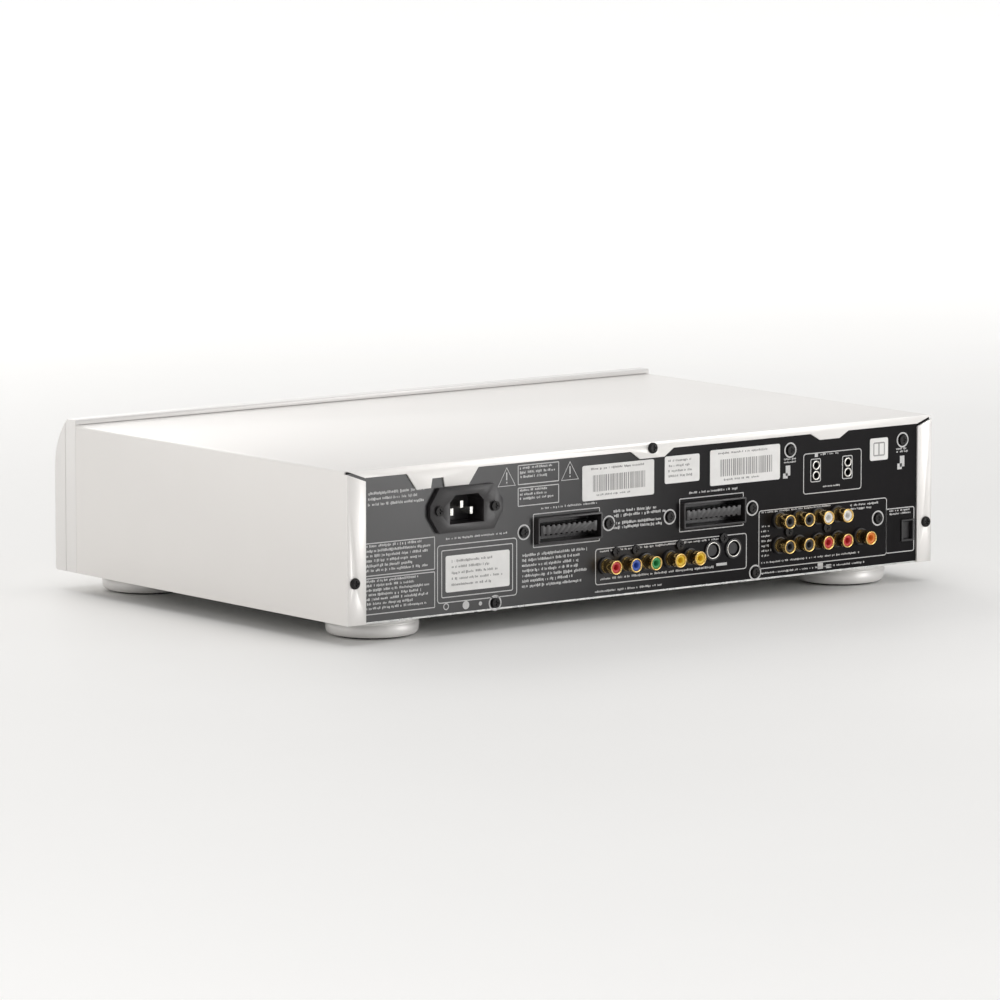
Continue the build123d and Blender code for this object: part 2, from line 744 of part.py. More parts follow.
shutter_top = base_z + optical_at[1] + optical_height / 2 - optical_wall - shutter_thickness
shutter_y = panel_y - shutter_recess - shutter_thickness / 2
shutter_half = optical_width / 2 - optical_wall - shutter_gap
with BuildPart() as optical_socket:
    rear_block(optical_at, optical_width, optical_height,
               (panel_y - optical_depth - av_reach, panel_y + optical_reach))
    rear_block(optical_at, optical_width - 2 * optical_wall, optical_height - 2 * optical_wall,
               (panel_y - optical_depth, rear_y + past), Mode.SUBTRACT)
    x, z = rear_point(*optical_at)
    bar((x - optical_width / 2, x + optical_width / 2), shutter_y, shutter_top,
        shutter_pin_radius + running_gap, Mode.SUBTRACT)
save(optical_socket, "optical_socket")

with BuildPart() as optical_shutter:
    x, z = rear_point(*optical_at)
    low = z - optical_height / 2 + optical_wall + shutter_gap
    leaf_y = (shutter_y - shutter_thickness / 2, shutter_y + shutter_thickness / 2)
    block((x - shutter_half, x + shutter_half), leaf_y, (low, shutter_top))
    bar((x - shutter_half, x + shutter_half), shutter_y, shutter_top, shutter_thickness / 2)
    bar((x - optical_width / 2, x + optical_width / 2), shutter_y, shutter_top, shutter_pin_radius)
save(optical_shutter, "optical_shutter")

with BuildPart() as rear_labels:
    for place, (label_width, label_height) in labels_at:
        rear_block(place, label_width, label_height, (panel_y, panel_y + label_thickness))
save(rear_labels, "rear_labels")

# --- Drawer -----------------------------------------------------------------------------------
def tooth_outline(pitch_radius, teeth):
    """Radius and half-width in turns of a tooth at its root, its pitch circle and its tip."""
    return ((pitch_radius - dedendum, (tooth_share + root_flare) / teeth),
            (pitch_radius, tooth_share / teeth),
            (pitch_radius + addendum, (tooth_share - tip_taper) / teeth))


def gear_face(x, y, teeth, first_tooth):
    """A straight-flanked gear drawn at one place, with a tooth pointing at first_tooth degrees."""
    levels = tooth_outline(gear_module * teeth / 2, teeth)
    points = []
    for tooth in range(teeth):
        middle = radians(first_tooth) + 2 * pi * tooth / teeth
        for radius, half in levels:
            angle = middle - 2 * pi * half
            points.append((x + radius * cos(angle), y + radius * sin(angle)))
        for radius, half in reversed(levels):
            angle = middle + 2 * pi * half
            points.append((x + radius * cos(angle), y + radius * sin(angle)))
    with BuildLine() as outline:
        Polyline(*points, close=True)
    make_face(outline.edges())


with BuildPart() as disc_tray:
    block((-tray_half, tray_half), (tray_front, tray_back), (tray_low_z, tray_top_z))
    fillet(disc_tray.edges().filter_by(Axis.Z).group_by(Axis.Y)[-1], radius=corner_radius)
    post(0, disc_y, (recess_z, tray_top_z + past), recess_radius, Mode.SUBTRACT)
    post(0, disc_y, (recess_z - small_disc_step, tray_top_z), small_disc_radius, Mode.SUBTRACT)
    slot_half = tray_slot_width / 2
    through = (tray_low_z - past, tray_top_z + past)
    post(0, disc_y, through, slot_half, Mode.SUBTRACT)
    block((-slot_half, slot_half), (disc_y, tray_back + past), through, Mode.SUBTRACT)
    for side in (-1, 1):
        with Locations((side * (recess_radius + past), disc_y, tray_top_z)):
            Cylinder(finger_radius, 2 * (tray_top_z - recess_z), mode=Mode.SUBTRACT)
        outer = sorted((side * tray_half, side * (tray_half + finger_radius)))
        block(outer, (tray_front, tray_back), through, Mode.SUBTRACT)
    rack_y = (train_y - rack_lead, tray_back - rack_end_gap)
    block((rack_back_x - rack_rib, rack_back_x), rack_y, (rack_low_z, tray_low_z))
    with BuildSketch(Plane.XY.offset(rack_low_z)) as rack:
        last_tooth = int((tray_back - 1.5 * rack_end_gap - train_y) / tooth_pitch)
        for number in range(rack_first_tooth, last_tooth):
            middle = train_y + (number + 0.5) * tooth_pitch
            root = (tooth_share + root_flare) * tooth_pitch
            tip = (tooth_share - root_flare) * tooth_pitch
            with BuildLine():
                Polyline((rack_back_x, middle - root), (rack_pitch_x + addendum, middle - tip),
                         (rack_pitch_x + addendum, middle + tip), (rack_back_x, middle + root), close=True)
            make_face()
    extrude(amount=gear_height)
    block((rack_back_x - past, rack_pitch_x + addendum), rack_y, (rack_low_z + gear_height, tray_low_z))
save(disc_tray, "disc_tray")

with BuildPart() as tray_cap:
    block((-cap_half, cap_half), (front_y, tray_front), (cap_low, cap_high))
    fillet(tray_cap.edges().filter_by(Axis.X).group_by(Axis.Y)[0], radius=cap_skin / 2)
    hollow_x = (cap_skin - cap_half, cap_half - cap_skin)
    block(hollow_x, (front_y + cap_skin, tray_front), (cap_low + cap_skin, tray_low_z), Mode.SUBTRACT)
save(tray_cap, "tray_cap")

# --- Loader frame and the gear train ----------------------------------------------------------
with BuildPart() as loader_frame:
    for side in (-1, 1):
        beam = sorted((side * beam_inner, side * beam_outer))
        block(beam, (loader_front, loader_back), (beam_low, beam_high))
        lip = sorted((side * (tray_half + lip_gap), side * (tray_half + lip_gap + lip_width)))
        block(lip, (loader_front, loader_back), (beam_high, tray_top_z - lip_width))
        for y in (loader_front + leg_radius, loader_back - leg_radius):
            post(side * (beam_outer - leg_radius), y, (floor_z, beam_low), leg_radius)
        bore = sorted((side * (beam_inner - past), side * (beam_inner + ear_width + past)))
        bar(bore, hinge_y, hinge_z, hinge_pin_radius + running_gap, Mode.SUBTRACT)
    block((-beam_inner, beam_inner), (loader_front, web_y), (beam_low, shelf_z))
    ledge_low = slider_low - web_thickness
    block((-beam_inner, beam_inner), (web_y - web_thickness, web_y), (ledge_low, shelf_z))
    block((slider_x[0] - web_thickness, slider_x[1] + cam_travel),
          (web_y - web_thickness, slider_y + 2 * seam),
          (ledge_low, slider_low - seam))
    block((-beam_inner, beam_inner), (loader_back - bridge_bar, loader_back), (beam_low, shelf_z))
    for x in (tray_gear_x, pulley_x):
        post(x, train_y, (shelf_z, gear_top), axle_radius)
    post(motor_x, train_y, (beam_low, shelf_z + past), hub_radius, Mode.SUBTRACT)
    post(motor_x, train_y, (ledge_low - past, beam_low), loading_motor_radius + seam, Mode.SUBTRACT)
save(loader_frame, "loader_frame")

with BuildPart() as loading_motor:
    post(motor_x, train_y, (beam_low - loading_motor_height, beam_low), loading_motor_radius)
    post(motor_x, train_y, (beam_low, beam_low + web_thickness), hub_radius - 2 * running_gap)
    shaft_low = beam_low - loading_motor_height + hub_radius
    post(motor_x, train_y, (shaft_low, shelf_z), shaft_radius + running_gap, Mode.SUBTRACT)
save(loading_motor, "loading_motor")


def pulley(x, radius, low, high):
    """A grooved belt pulley on an upright axis."""
    middle = (low + high) / 2
    flange = radius + belt_thickness
    post(x, train_y, (low, high), flange)
    with BuildSketch(Plane.XY.offset(middle - belt_height / 2)) as groove:
        with Locations((x, train_y)):
            Circle(flange + past)
            Circle(radius, mode=Mode.SUBTRACT)
    extrude(groove.sketch, amount=belt_height, mode=Mode.SUBTRACT)


with BuildPart() as motor_pulley:
    pulley(motor_x, motor_pulley_radius, pulley_low, pulley_high)
    post(motor_x, train_y, (shaft_low + seam, pulley_low), shaft_radius)
save(motor_pulley, "motor_pulley")

with BuildPart() as pulley_gear:
    pulley(pulley_x, pulley_radius, pulley_low, pulley_high)
    with BuildSketch(Plane.XY.offset(pulley_high)) as teeth:
        gear_face(pulley_x, train_y, pinion_teeth, 180.0 / pinion_teeth)
    extrude(amount=gear_top - pulley_high)
    post(pulley_x, train_y, (shelf_z, gear_top + past), axle_radius + running_gap, Mode.SUBTRACT)
save(pulley_gear, "pulley_gear")

with BuildPart() as tray_gear:
    tray_gear_low = pulley_high + 2 * pulley_lift
    with BuildSketch(Plane.XY.offset(tray_gear_low)) as teeth:
        gear_face(tray_gear_x, train_y, tray_gear_teeth, 0.0)
    extrude(amount=gear_top - seam - tray_gear_low)
    post(tray_gear_x, train_y, (shelf_z + seam, tray_gear_low), hub_radius)
    post(tray_gear_x, train_y, (shelf_z, gear_top), axle_radius + running_gap, Mode.SUBTRACT)
save(tray_gear, "tray_gear")


def belt_loop(skin):
    """The stretched loop round both pulleys, skin outside the floors of their grooves."""
    big = pulley_radius + skin
    small = motor_pulley_radius + skin
    lean = asin((pulley_radius - motor_pulley_radius) / belt_centres)
    ends = [(x + radius * sin(lean), train_y + side * radius * cos(lean))
            for x, radius, side in ((pulley_x, big, 1), (motor_x, small, 1),
                                    (motor_x, small, -1), (pulley_x, big, -1))]
    with BuildLine() as loop:
        Line(ends[0], ends[1])
        ThreePointArc(ends[1], (motor_x + small, train_y), ends[2])
        Line(ends[2], ends[3])
        ThreePointArc(ends[3], (pulley_x - big, train_y), ends[0])
    make_face(loop.edges())


belt_z = (pulley_low + pulley_high) / 2 - belt_height / 2
with BuildPart() as drive_belt:
    with BuildSketch(Plane.XY.offset(belt_z + running_gap)) as outer_loop:
        belt_loop(running_gap + belt_thickness)
    extrude(amount=belt_height - 2 * running_gap)
    with BuildSketch(Plane.XY.offset(belt_z)) as inner_loop:
        belt_loop(running_gap)
    extrude(amount=belt_height, mode=Mode.SUBTRACT)
save(drive_belt, "drive_belt")

# --- Traverse deck: spindle, pickup and the slider that lifts it -------------------------------
with BuildPart() as traverse_deck:
    block((-deck_half, deck_half), (deck_front, rods_back + hub_radius), (deck_z, deck_top))
    fillet(traverse_deck.edges().filter_by(Axis.Z), radius=corner_radius)
    opening = (sled_front - 2 * past, sled_back + sled_travel + 2 * past)
    through = (deck_z - past, deck_top + past)
    block((-sled_window_half, sled_window_half), opening, through, Mode.SUBTRACT)
    post(0, disc_y, through, hub_radius, Mode.SUBTRACT)
    for side in (-1, 1):
        ear = sorted((side * (deck_half - ear_width), side * deck_half))
        block(ear, (rods_back, hinge_y + 2 * hinge_pin_radius),
              (hinge_z - 2 * hinge_pin_radius, hinge_z + 2 * hinge_pin_radius))
        bar(ear, hinge_y, hinge_z, hinge_pin_radius, Mode.SUBTRACT)
        for y in (sled_front - rod_clamp - rod_radius, rods_back + rod_radius):
            block((side * rod_spread - rod_clamp, side * rod_spread + rod_clamp),
                  (y - rod_clamp / 2, y + rod_clamp / 2), (rod_z - rod_clamp, deck_z))
            barrel(side * rod_spread, (y - rod_clamp, y + rod_clamp), rod_z, rod_radius, Mode.SUBTRACT)
    for x in cam_pins_x:
        block((x - hub_radius, x + hub_radius), (deck_front - seam, deck_front + ear_width),
              (hinge_z - 2 * cam_pin_radius, deck_top))
        barrel(x, (slider_y - slider_thickness - seam, deck_front + hub_radius), hinge_z, cam_pin_radius)
save(traverse_deck, "traverse_deck")

with BuildPart() as hinge_pins:
    for side in (-1, 1):
        span = sorted((side * (deck_half - ear_width - past), side * (beam_inner + ear_width)))
        bar(span, hinge_y, hinge_z, hinge_pin_radius)
save(hinge_pins, "hinge_pins")

with BuildPart() as guide_rods:
    for side in (-1, 1):
        barrel(side * rod_spread, (sled_front - 2 * rod_clamp, rods_back + rod_clamp), rod_z, rod_radius)
save(guide_rods, "guide_rods")

with BuildPart() as cam_slider:
    block(slider_x, (slider_y - slider_thickness, slider_y), (slider_low, slider_high))
    slot_radius = cam_pin_radius + cam_slot_play
    slot_length = (cam_travel ** 2 + deck_drop ** 2) ** 0.5
    slot_lean = degrees(asin(deck_drop / slot_length))
    with BuildSketch(Plane.XZ.offset(-slider_y)):
        for x in cam_pins_x:
            with Locations((x - cam_travel / 2, hinge_z - deck_drop / 2)):
                SlotCenterToCenter(slot_length, 2 * slot_radius, rotation=slot_lean)
    extrude(amount=slider_thickness, mode=Mode.SUBTRACT)
save(cam_slider, "cam_slider")

with BuildPart() as spindle_motor:
    post(0, disc_y, (motor_low, deck_z), motor_radius)
    fillet(spindle_motor.edges().filter_by(GeomType.CIRCLE).group_by(Axis.Z)[0], radius=shaft_radius)
    post(0, disc_y, (deck_z, deck_top), hub_radius - 2 * running_gap)
    post(0, disc_y, (motor_low + corner_radius - past, deck_top + past), spindle_radius + running_gap,
         Mode.SUBTRACT)
save(spindle_motor, "spindle_motor")

with BuildPart() as turntable:
    post(0, disc_y, (turntable_low, turntable_top), turntable_radius)
    post(0, disc_y, (turntable_top, turntable_top + centring_height), centring_radius)
    chamfer(turntable.edges().filter_by(GeomType.CIRCLE).group_by(Axis.Z)[-1], length=centring_height / 2)
    post(0, disc_y, (turntable_low - corner_radius, turntable_low), hub_radius + past)
    post(0, disc_y, (motor_low + corner_radius, turntable_low), spindle_radius)
save(turntable, "turntable")

sled_top = tray_low_z - shelf_drop / 2
with BuildPart() as pickup_sled:
    block((-sled_half, sled_half), (sled_front, sled_back), (rod_z - 2 * rod_radius, sled_top))
    fillet(pickup_sled.edges().filter_by(Axis.Z), radius=corner_radius)
    wing_tip = rod_spread + 2 * rod_radius
    for side in (-1, 1):
        wing = sorted((side * sled_half, side * wing_tip))
        block(wing, (sled_front, sled_back), (rod_z - wing_half, rod_z + wing_half))
    block((wing_tip, screw_x - screw_radius - seam), (lens_y - nut_reach[0], lens_y + nut_reach[1]),
          (rod_z - nut_reach[0], rod_z + nut_reach[0]))
    for side in (-1, 1):
        barrel(side * rod_spread, (sled_front - past, sled_back + past), rod_z,
               rod_radius + running_gap, Mode.SUBTRACT)
save(pickup_sled, "pickup_sled")

with BuildPart() as lens_holder:
    lens_seat_z = tray_low_z - past
    block((-2 * lens_radius, 2 * lens_radius), (lens_y - 2 * lens_radius, lens_y + 2 * lens_radius),
          (sled_top, tray_low_z))
    fillet(lens_holder.edges().filter_by(Axis.Z), radius=corner_radius)
    post(0, lens_y, (lens_seat_z, tray_low_z + past), lens_radius, Mode.SUBTRACT)
save(lens_holder, "lens_holder")

with BuildPart() as objective_lens:
    post(0, lens_y, (lens_seat_z, tray_low_z + 2 * seam), lens_radius)
    fillet(objective_lens.edges().filter_by(GeomType.CIRCLE).group_by(Axis.Z)[-1], radius=2 * seam)
save(objective_lens, "objective_lens")

with BuildPart() as sled_motor:
    barrel(screw_x, (sled_motor_front, rods_back), rod_z, sled_motor_radius)
    barrel(screw_x, (sled_motor_front - past, rods_back - hub_radius), rod_z, shaft_radius + running_gap,
           Mode.SUBTRACT)
save(sled_motor, "sled_motor")

with BuildPart() as leadscrew:
    thread_end = sled_motor_front - seam
    barrel(screw_x, (sled_front, thread_end), rod_z, screw_radius)
    barrel(screw_x, (thread_end, rods_back - hub_radius - seam), rod_z, shaft_radius)
save(leadscrew, "leadscrew")

# --- Disc clamp over the drawer ----------------------------------------------------------------
bridge_top = bridge_low + bridge_thickness
clamper_low = turntable_top + centring_height + clamper_gap
cap_base = bridge_top + 2 * clamper_gap
with BuildPart() as clamp_bridge:
    bridge_x = beam_outer - sheet
    block((-bridge_x, bridge_x), (disc_y - bridge_half_depth, disc_y + bridge_half_depth),
          (bridge_low, bridge_top))
    for side in (-1, 1):
        leg = sorted((side * bridge_x, side * (bridge_x - bridge_thickness)))
        block(leg, (disc_y - bridge_half_depth, disc_y + bridge_half_depth), (beam_high, bridge_low))
        foot = sorted((side * bridge_x, side * (bridge_x - ear_width)))
        block(foot, (disc_y - bridge_half_depth, disc_y + bridge_half_depth),
              (beam_high, beam_high + bridge_thickness))
    post(0, disc_y, (bridge_low - past, bridge_top + past), clamper_hub + 2 * clamper_gap, Mode.SUBTRACT)
save(clamp_bridge, "clamp_bridge")

with BuildPart() as clamper:
    post(0, disc_y, (clamper_low, bridge_low - clamper_gap), clamper_radius)
    post(0, disc_y, (bridge_low - clamper_gap, cap_base), clamper_hub)
    post(0, disc_y, (clamper_low - past, clamper_low + past), centring_radius + 2 * clamper_gap,
         Mode.SUBTRACT)
save(clamper, "clamper")

with BuildPart() as clamper_cap:
    post(0, disc_y, (cap_base, cap_base + clamper_cap_height), clamper_cap_radius)
    fillet(clamper_cap.edges().filter_by(GeomType.CIRCLE).group_by(Axis.Z)[-1], radius=clamper_cap_height / 2)
save(clamper_cap, "clamper_cap")

# --- Circuit boards and what stands on them ----------------------------------------------------
for name, (x_span, y_span, z) in boards.items():
    with BuildPart() as board:
        block(x_span, y_span, (z, z + board_thickness))
        for x, y, size in chips_at if name == "main_board" else ():
            block((x - size / 2, x + size / 2), (y - size / 2, y + size / 2),
                  (z + board_thickness, z + board_thickness + chip_height))
    save(board, name)

with BuildPart() as board_standoffs:
    for (x_low, x_high), (y_low, y_high), z in boards.values():
        for x in (x_low + standoff_inset, x_high - standoff_inset):
            for y in (y_low + standoff_inset, y_high - standoff_inset):
                post(x, y, (floor_z, z), standoff_radius)
save(board_standoffs, "board_standoffs")

power_x = board_x[0]
power_y = boards["power_board"][1][0]
with BuildPart() as transformer:
    x = power_x + transformer_at[0]
    y = power_y + transformer_at[1]
    for (size_x, size_y, size_z), lift in ((core_size, 0.0), (coil_size, (core_size[2] - coil_size[2]) / 2)):
        block((x - size_x / 2, x + size_x / 2), (y - size_y / 2, y + size_y / 2),
              (power_top + lift, power_top + lift + size_z))
save(transformer, "transformer")

with BuildPart() as capacitors:
    for along, back, radius, height in cans_at:
        post(power_x + along, power_y + back, (power_top, power_top + height), radius)
    fillet(capacitors.edges().filter_by(GeomType.CIRCLE).group_by(Axis.Z)[-1], radius=cover_bend)
save(capacitors, "capacitors")

with BuildPart() as heat_sink:
    x = power_x + sink_at[0]
    y = power_y + sink_at[1]
    sink_length = (fin_count - 1) * fin_pitch + fin_thickness
    block((x, x + sink_back), (y, y + sink_length), (power_top, power_top + sink_height))
    for number in range(fin_count):
        fin_y = y + number * fin_pitch
        block((x + sink_back, x + sink_back + fin_reach), (fin_y, fin_y + fin_thickness),
              (power_top, power_top + sink_height))
save(heat_sink, "heat_sink")

with BuildPart() as front_ribbon:
    main_front = boards["main_board"][1][0]
    block(ribbon_x, (board_back, main_front + ribbon_margin), (ribbon_z, ribbon_z + ribbon_thickness))
    block((ribbon_x[0] - sheet, ribbon_x[1] + sheet),
          (main_front + ribbon_margin, main_front + 4 * ribbon_margin),
          (power_top, power_top + 2 * ribbon_margin))
save(front_ribbon, "front_ribbon_cable")
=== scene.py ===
from math import cos, pi, radians, sin

import bmesh
import bpy
import numpy as np
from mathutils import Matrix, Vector


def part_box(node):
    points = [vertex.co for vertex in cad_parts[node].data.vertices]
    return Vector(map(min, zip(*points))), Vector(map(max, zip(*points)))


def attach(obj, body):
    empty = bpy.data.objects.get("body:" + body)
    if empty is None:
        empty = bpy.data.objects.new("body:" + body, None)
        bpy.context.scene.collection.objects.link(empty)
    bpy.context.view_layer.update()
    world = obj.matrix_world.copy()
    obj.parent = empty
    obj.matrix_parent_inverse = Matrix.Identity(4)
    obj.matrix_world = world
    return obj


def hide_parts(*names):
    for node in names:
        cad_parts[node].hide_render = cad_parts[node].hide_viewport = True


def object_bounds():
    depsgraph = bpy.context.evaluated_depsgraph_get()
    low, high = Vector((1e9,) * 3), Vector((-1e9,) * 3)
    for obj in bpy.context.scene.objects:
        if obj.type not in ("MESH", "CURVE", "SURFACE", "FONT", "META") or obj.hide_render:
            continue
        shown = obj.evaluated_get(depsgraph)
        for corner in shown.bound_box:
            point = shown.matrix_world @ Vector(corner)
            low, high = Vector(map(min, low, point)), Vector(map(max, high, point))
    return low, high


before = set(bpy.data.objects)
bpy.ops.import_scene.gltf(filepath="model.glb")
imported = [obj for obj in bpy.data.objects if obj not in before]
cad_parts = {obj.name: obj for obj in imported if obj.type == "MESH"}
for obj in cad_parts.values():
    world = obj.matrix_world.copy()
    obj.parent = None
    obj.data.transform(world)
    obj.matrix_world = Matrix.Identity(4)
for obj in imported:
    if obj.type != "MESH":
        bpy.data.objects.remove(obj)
cad_low, cad_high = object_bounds()
mm = 0.001

# --- Table top, studio light and camera ---------------------------------------------------------
# A pale table that curves up into a wall, so that the paintwork has only soft, even things to
# reflect. The far part of the sweep is lit from within, a low box skims the rear panel and larger
# ones fill the rest; the camera stands behind the player, to one side, with a long lens.
centre = (cad_low + cad_high) / 2
azimuth = radians(142.3)
elevation = radians(7.6)
camera_distance = 4.46
lens_length = 270.0

camera_data = bpy.data.cameras.new("studio_camera")
camera = bpy.data.objects.new("studio_camera", camera_data)
bpy.context.scene.collection.objects.link(camera)
bpy.context.scene.camera = camera
away = Vector((sin(azimuth) * cos(elevation), -cos(azimuth) * cos(elevation), sin(elevation)))
camera.location = centre + away * camera_distance
camera.rotation_euler = (-away).to_track_quat("-Z", "Y").to_euler()
camera_data.lens = lens_length
camera_data.clip_end = 50.0


def soft_box(name, place, aim, size, power, colour):
    """A square area light at place, turned to face aim."""
    light = bpy.data.lights.new(name, "AREA")
    light.shape = "SQUARE"
    light.size = size
    light.energy = power
    light.color = colour
    lamp = bpy.data.objects.new(name, light)
    bpy.context.scene.collection.objects.link(lamp)
    lamp.location = place
    lamp.rotation_euler = (Vector(aim) - Vector(place)).to_track_quat("-Z", "Y").to_euler()


soft_box("overhead_box", (0.2, 0.1, 2.6), (0, 0, 0.05), 2.4, 23.0, (1.0, 0.995, 0.985))
soft_box("rear_box", (-0.9, 2.6, 1.3), (0, 0, 0.05), 1.6, 7.0, (1.0, 0.99, 0.975))
soft_box("panel_box", (-0.46, 0.80, 0.16), (0.16, 0.14, 0.06), 0.34, 1.5, (1.0, 0.995, 0.99))
soft_box("side_box", (2.8, -0.4, 1.2), (0, 0, 0.05), 1.8, 13.0, (1.0, 0.955, 0.925))
soft_box("front_box", (-0.6, -2.8, 1.5), (0, 0, 0.05), 2.0, 16.0, (1.0, 0.99, 0.98))

world = bpy.data.worlds.new("studio_room")
bpy.context.scene.world = world
world.use_nodes = True
world.node_tree.nodes["Background"].inputs["Color"].default_value = (0.93, 0.93, 0.94, 1.0)
world.node_tree.nodes["Background"].inputs["Strength"].default_value = 0.52
bpy.context.scene.view_settings.view_transform = "Standard"


def surface_object(name, points, faces, material=None, smooth=True):
    """A mesh object at the origin from an array of points and a list or array of faces."""
    mesh = bpy.data.meshes.new(name)
    mesh.from_pydata(np.asarray(points, dtype=float).reshape(-1, 3).tolist(), [],
                     [tuple(int(i) for i in face) for face in faces])
    mesh.polygons.foreach_set("use_smooth", np.full(len(mesh.polygons), smooth))
    mesh.update()
    built = bpy.data.objects.new(name, mesh)
    bpy.context.scene.collection.objects.link(built)
    if material is not None:
        mesh.materials.append(material)
    return built


def finish_material(name, colour, roughness, metallic=0.0, second=None, mottle_scale=60.0,
                    grain_scale=2500.0, grain_depth=0.0, rough_spread=0.06, coat=0.0):
    """A finish whose colour drifts between two near tones, with a fine grain and uneven gloss."""
    material = bpy.data.materials.new(name)
    material.use_nodes = True
    nodes = material.node_tree.nodes
    links = material.node_tree.links
    shader = nodes["Principled BSDF"]
    shader.inputs["Metallic"].default_value = metallic
    shader.inputs["Coat Weight"].default_value = coat
    shader.inputs["Coat Roughness"].default_value = 0.12
    place = nodes.new("ShaderNodeTexCoord")
    mottle = nodes.new("ShaderNodeTexNoise")
    mottle.inputs["Scale"].default_value = mottle_scale
    mottle.inputs["Detail"].default_value = 4.0
    links.new(place.outputs["Object"], mottle.inputs["Vector"])
    tones = nodes.new("ShaderNodeValToRGB")
    second = second or tuple(channel * 0.93 for channel in colour)
    tones.color_ramp.elements[0].position = 0.32
    tones.color_ramp.elements[0].color = (*second, 1.0)
    tones.color_ramp.elements[1].position = 0.68
    tones.color_ramp.elements[1].color = (*colour, 1.0)
    links.new(mottle.outputs["Fac"], tones.inputs["Fac"])
    links.new(tones.outputs["Color"], shader.inputs["Base Color"])
    grain = nodes.new("ShaderNodeTexNoise")
    grain.inputs["Scale"].default_value = grain_scale
    grain.inputs["Detail"].default_value = 2.0
    links.new(place.outputs["Object"], grain.inputs["Vector"])
    gloss = nodes.new("ShaderNodeMapRange")
    gloss.inputs["From Min"].default_value = 0.3
    gloss.inputs["From Max"].default_value = 0.7
    gloss.inputs["To Min"].default_value = max(roughness - rough_spread, 0.02)
    gloss.inputs["To Max"].default_value = roughness + rough_spread
    links.new(mottle.outputs["Fac"], gloss.inputs["Value"])
    links.new(gloss.outputs["Result"], shader.inputs["Roughness"])
    if grain_depth:
        bump = nodes.new("ShaderNodeBump")
        bump.inputs["Strength"].default_value = 0.6
        bump.inputs["Distance"].default_value = grain_depth
        links.new(grain.outputs["Fac"], bump.inputs["Height"])
        links.new(bump.outputs["Normal"], shader.inputs["Normal"])
    return material


def smooth_ramp(nodes, start, stop, low, high):
    """A node whose value eases from low to high while its input goes from start to stop."""
    ramp = nodes.new("ShaderNodeMapRange")
    ramp.interpolation_type = "SMOOTHSTEP"
    ramp.inputs["From Min"].default_value = start
    ramp.inputs["From Max"].default_value = stop
    ramp.inputs["To Min"].default_value = low
    ramp.inputs["To Max"].default_value = high
    return ramp


floor_half = 6.0
floor_behind = 4.5
sweep_radius = 1.0
floor_front = -3.2
wall_height = 4.0
sweep = np.linspace(0, pi / 2, 16)
floor_line = np.concatenate([
    [[floor_behind, 0.0]],
    np.column_stack([floor_front - sweep_radius * np.sin(sweep),
                     sweep_radius - sweep_radius * np.cos(sweep)]),
    [[floor_front - sweep_radius, wall_height]]])
floor_points = np.stack([np.column_stack([np.full(len(floor_line), x), floor_line])
                         for x in (-floor_half, floor_half)], axis=1)
floor_faces = [(2 * i + 1, 2 * i, 2 * i + 2, 2 * i + 3) for i in range(len(floor_line) - 1)]
table_paper = finish_material("table_paper", (0.86, 0.855, 0.84), 0.62, mottle_scale=3.0,
                              second=(0.84, 0.835, 0.82), grain_scale=900.0, grain_depth=0.00004)
paper_nodes = table_paper.node_tree.nodes
paper_links = table_paper.node_tree.links
glow_start = 0.35
glow_end = 2.6
glow_strength = 0.42
reach = paper_nodes.new("ShaderNodeVectorMath")
reach.operation = "LENGTH"
paper_links.new(next(node for node in paper_nodes if node.type == "TEX_COORD").outputs["Object"],
                reach.inputs[0])
glow = smooth_ramp(paper_nodes, glow_start, glow_end, 0.0, glow_strength)
paper_links.new(reach.outputs["Value"], glow.inputs["Value"])
paper_nodes["Principled BSDF"].inputs["Emission Color"].default_value = (1.0, 0.995, 0.99, 1.0)
paper_links.new(glow.outputs["Result"], paper_nodes["Principled BSDF"].inputs["Emission Strength"])
table = surface_object("table_sweep", floor_points, floor_faces, table_paper)

# --- Feet -----------------------------------------------------------------------------------------
# Four hollow mouldings with a bright satin skin, a shallow waist under the top rim and a rounded
# toe. Each is held by one screw up its middle and stands on a dark rubber ring pressed into it.
silver_plastic = finish_material("silver_plastic", (0.83, 0.815, 0.795), 0.36, metallic=0.25,
                                 second=(0.822, 0.807, 0.787), mottle_scale=11.0, rough_spread=0.012,
                                 grain_scale=3800.0, grain_depth=0.000012, coat=0.10)
foot_rubber = finish_material("foot_rubber", (0.035, 0.034, 0.034), 0.82, grain_scale=1800.0,
                              grain_depth=0.00005)
black_screws = finish_material("black_screws", (0.020, 0.019, 0.019), 0.36, metallic=0.7,
                               grain_scale=1600.0, grain_depth=0.00001)
foot_low, foot_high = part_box("feet")
foot_radius = 27.5 * mm
foot_places = [(x, y) for x in (foot_low.x + foot_radius, foot_high.x - foot_radius)
               for y in (foot_low.y + foot_radius, foot_high.y - foot_radius)]


def ring_faces(count, around):
    """The four-sided faces between count rings of points, each ring closed on itself."""
    rows, columns = np.meshgrid(np.arange(count - 1), np.arange(around), indexing="ij")
    onward = (columns + 1) % around
    faces = np.stack([rows * around + columns, rows * around + onward,
                      (rows + 1) * around + onward, (rows + 1) * around + columns], axis=-1)
    return faces.reshape(-1, 4)


def turned(profile, x, y, around=64):
    """Points and faces of a profile of radius and height, carried round an upright axis."""
    profile = np.asarray(profile)
    turn = np.linspace(0, 2 * pi, around, endpoint=False)
    points = np.stack([x + np.outer(profile[:, 0], np.cos(turn)), y + np.outer(profile[:, 0], np.sin(turn)),
                       np.repeat(profile[:, 1:2], around, axis=1)], axis=2)
    return points.reshape(-1, 3), ring_faces(len(profile), around)


def joined(pieces):
    """Several meshes' points and faces as one pair."""
    points, faces, start = [], [], 0
    for some_points, some_faces in pieces:
        points.append(np.asarray(some_points).reshape(-1, 3))
        faces.extend((np.asarray(face) + start).tolist() for face in some_faces)
        start += len(points[-1])
    return np.concatenate(points), faces


